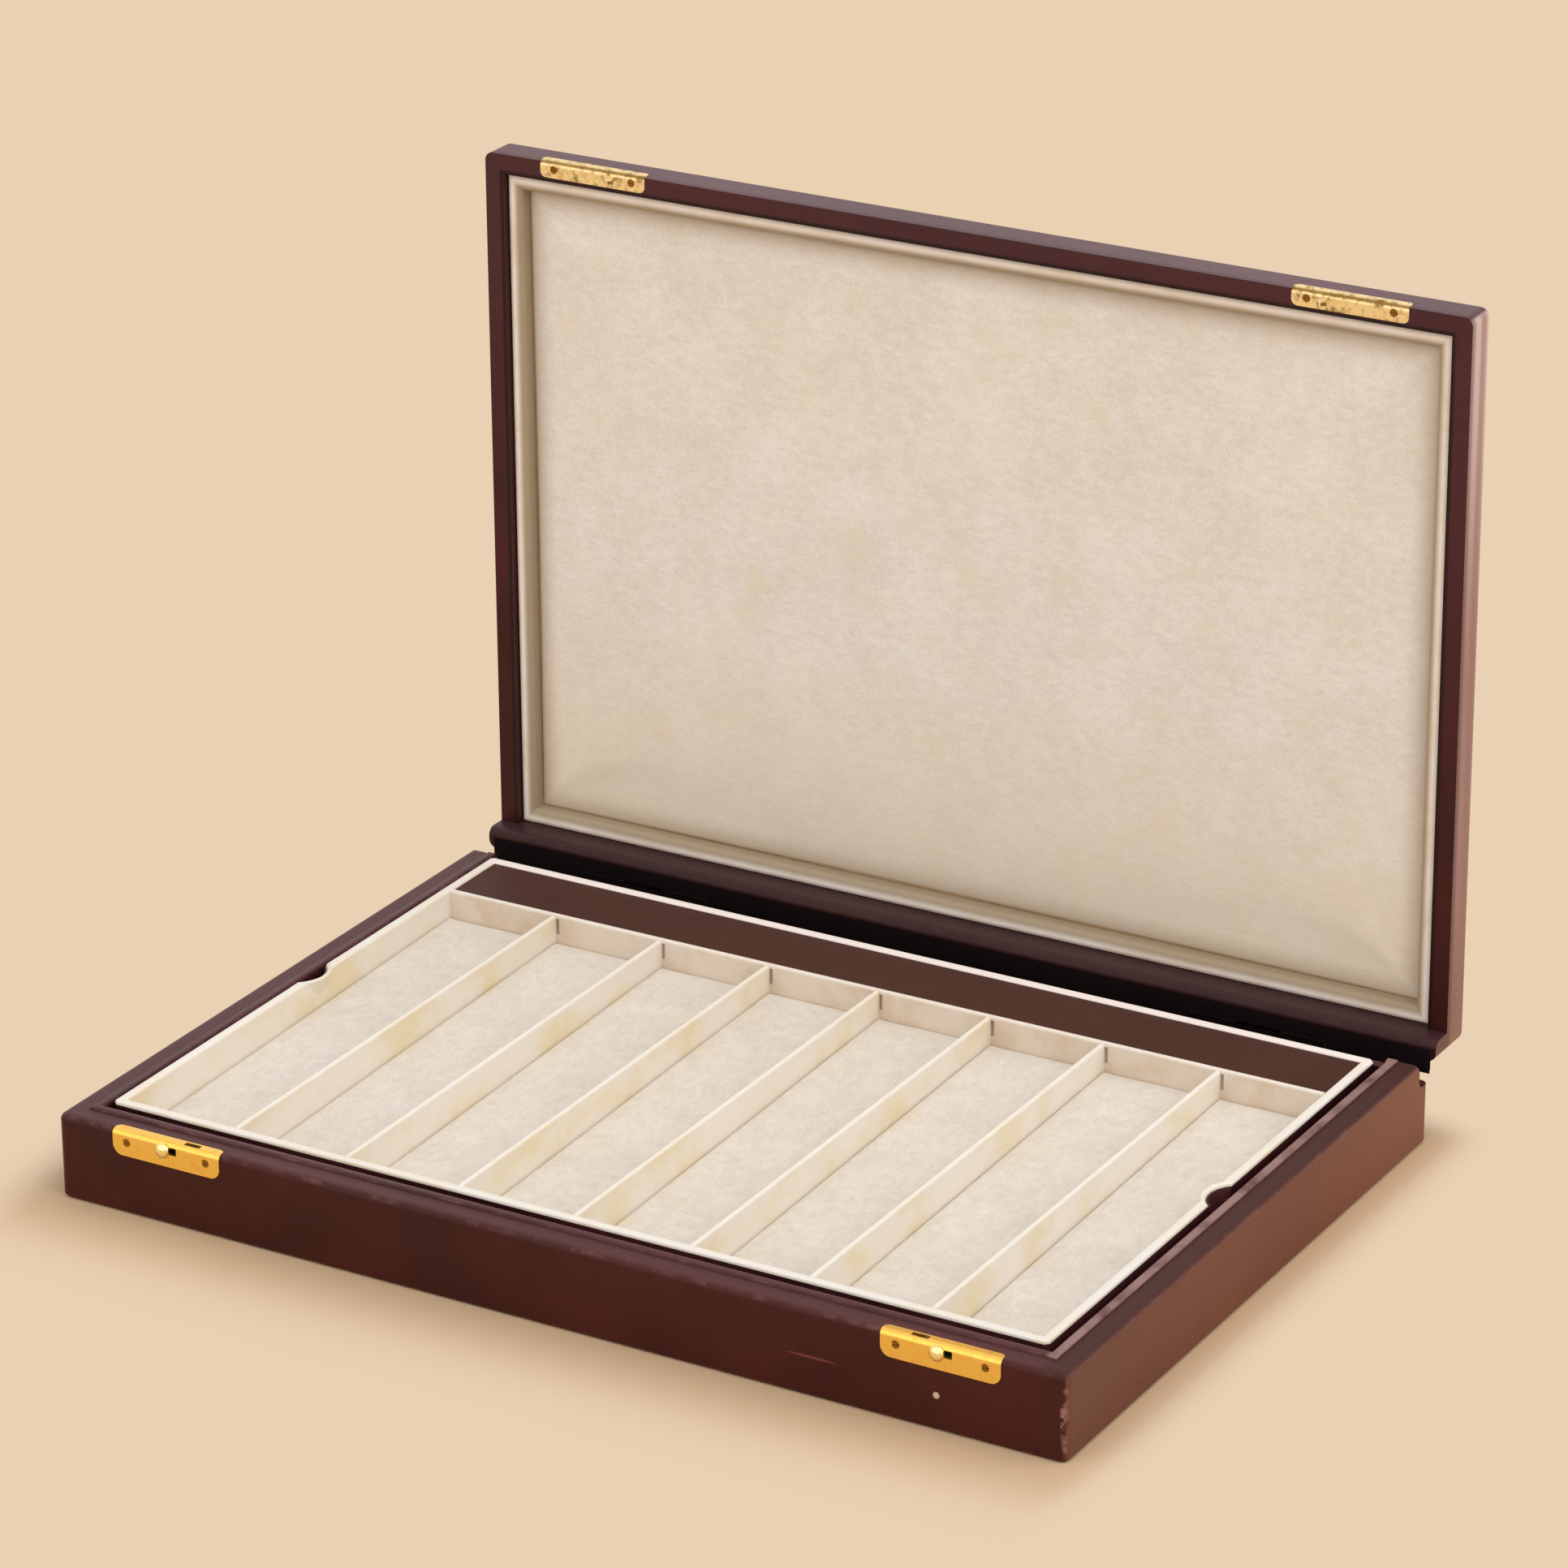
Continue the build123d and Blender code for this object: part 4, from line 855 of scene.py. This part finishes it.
def bent_tape(side, third):
    """Tape over one third of a hinge's length, counted from 0 at the left. A point of it is at
    y = axis + r cos(a), z = axis + r sin(a), r being one radius outside and another inside."""
    low, high = (np.array(corner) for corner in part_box(f"hinge_pin_{side}"))
    axis = (low[1:] + high[1:]) / 2
    bend = np.linspace(BEND_START, BEND_END, 18)
    ray = np.stack([np.cos(bend), np.sin(bend)], axis=1)
    length = (high[0] - low[0]) / 3
    left = low[0] + third * length
    return tape(f"hinge_tape_{side}_{third + 1}", axis + OUTSIDE_RADIUS * ray,
                (axis + INSIDE_RADIUS * ray)[::-1], left + SKIN, left + length - SKIN)


def hem(number, x_low, x_high):
    """Flat tape that hangs below the joint strip and reaches up inside it."""
    low, high = (np.array(corner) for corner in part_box("lid_joint_strip"))
    ends = np.array([low[2] - HANGS, low[2] + REACHES_UP])
    rear = np.stack([np.full(2, high[1] - SKIN), ends], axis=1)
    front = np.stack([np.full(2, low[1] + SKIN), ends[::-1]], axis=1)
    return tape(f"joint_hem_{number}", rear, front, x_low, x_high)


x_of = {name: (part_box(name)[0][0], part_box(name)[1][0])
        for name in ("lid_joint_strip", "hinge_pin_left", "hinge_pin_right")}
strip, left_pin, right_pin = x_of.values()
gaps = [(strip[0], left_pin[0]), (left_pin[1], right_pin[0]), (right_pin[1], strip[1])]
hems = [hem(number, left + CLEAR, right - CLEAR) for number, (left, right) in enumerate(gaps, 1)]
tapes = [bent_tape(side, third) for side in ("left", "right") for third in (0, 2)]
print("tapes made:", len(hems) + len(tapes))

# %% [markdown]
# ## The floor
# The object stands on seamless paper of a pale peach colour, which fills the picture. It is
# one large sheet of one tone, so that only the soft, warm shadow of the case shows on it; near
# the case that shadow is rendered, and a darker, warmer shade is painted into the paper's colour
# too.

# %% The floor
LEFT, RIGHT, REAR = 2.0, 3.0, 3.0    # how much sooner the shadow ends there than in front


def paper(name, tone, warm):
    """Pale paper that takes the object's shadow near it, where a darker, warmer shade is also
    painted into its colour for the light that the leather throws back. Further off, what the camera
    or a mirror sees of it fades to the plain tone. The distance is measured from the rectangle that
    the base covers, as the length of what x and y have beyond its sides, each times the number of
    its side, because the lamps clear some sides sooner."""
    material, place = start(name)
    x, y = along(place, 0), along(place, 1)
    beside = ((x - HALF_WIDTH) * RIGHT).most((x * -1.0 - HALF_WIDTH) * LEFT).most(0.0)
    ahead = ((y - HALF_DEPTH) * REAR).most(y * -1.0 - HALF_DEPTH).most(0.0)
    away = place.sum_of("SQRT", beside * beside + ahead * ahead)
    far_off = away.between(14.0 * MM, 72.0 * MM) * seen_directly(place)
    # painted shade: near the case the paper's colour is darker and warmer
    shown = blend(away.between(0.0, 48.0 * MM), warm, tone)
    matt = {"Base Color": shown, "Roughness": 1.0, "Specular IOR Level": 0.0}
    lit = place.node("BsdfPrincipled", matt)
    plain = place.node("Emission", {"Color": tone, "Strength": 1.0})
    mixed = place.node("MixShader", {0: far_off, 1: lit, 2: plain})
    place.node("OutputMaterial", {"Surface": mixed})
    return material


def floor_sheet(half, count):
    """A flat square grid on z = 0, its points from -half to half both ways."""
    even = np.linspace(-half, half, count)
    x, y = np.meshgrid(even, even, indexing="ij")
    points = np.stack([x, y, np.zeros_like(x)], axis=-1).reshape(-1, 3)
    corner = (np.arange(count - 1)[:, None] * count + np.arange(count - 1)).ravel()
    faces = np.stack([corner, corner + count, corner + count + 1, corner + 1], axis=1)
    return make_mesh("floor", points, faces, paper("paper", PEACH, SHADED_PEACH))


PEACH, SHADED_PEACH = colour(234, 209, 179), colour(217, 185, 149)
floor = floor_sheet(14.0, 9)
floor.data.shade_flat()
floor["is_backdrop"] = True
print("floor is", round(floor.dimensions.x), "m wide")

# %% [markdown]
# ## Soft studio light
# The shadow in the picture is short and soft all round, so most of the light comes from a
# bright room, and the rest from a large lamp at the right and above. A wide sun lamp does
# that with an even strength everywhere, so the paper stays one colour up to its far edge.

# %% The room and the lamps
def sun(name, towards, strength, width_degrees, tint):
    """A sun lamp that shines from a direction; its width softens the shadow it casts."""
    lamp = bpy.data.objects.new(name, bpy.data.lights.new(name, "SUN"))
    lamp.data.energy = strength
    lamp.data.angle = np.radians(width_degrees)
    lamp.data.color = tint
    away = np.array(towards, float) / np.linalg.norm(towards)
    side = np.cross([0.0, 1.0, 0.0], away)
    side = side / np.linalg.norm(side)
    aimed = np.eye(4)
    aimed[:3, :3] = np.column_stack([side, np.cross(away, side), away])
    lamp.matrix_world = Matrix(aimed.tolist())
    bpy.context.scene.collection.objects.link(lamp)
    return lamp


sun("key", (0.8, 0.0, 0.8), 1.3, 70.0, (1.0, 0.99, 0.97))
sun("fill", (-0.2, -0.85, 0.55), 0.85, 80.0, (1.0, 0.99, 0.98))
sun("glint", (0.1, -0.35, 0.9), 0.12, 12.0, (1.0, 1.0, 1.0))


def room(light, shown):
    """The world: one strength for the light it gives, another for what is seen of it in gloss."""
    world = bpy.data.worlds.new("room")
    world.use_nodes = True
    world.node_tree.nodes.clear()
    tree = Strand(world.node_tree)
    tint = (1.0, 0.985, 0.985, 1.0)
    given = tree.node("Background", {"Color": tint, "Strength": light})
    mirrored = tree.node("Background", {"Color": tint, "Strength": shown})
    mixed = tree.node("MixShader", {0: seen_directly(tree), 1: given, 2: mirrored})
    tree.node("OutputWorld", {"Surface": mixed})
    return world


bpy.context.scene.world = room(light=0.52, shown=1.0)
bpy.context.scene.view_settings.view_transform = "Standard"
print("lamps:", len(bpy.data.lights))

# %% [markdown]
# ## Closing
# The finished box is printed below the measured one, so that the two can be read side by side.

# %% The two boxes, and the end
finished_box = [list(corner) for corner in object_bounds()]
for name, box in (("measured", measured_box), ("finished", finished_box)):
    print(name, np.round(box, 4).tolist())
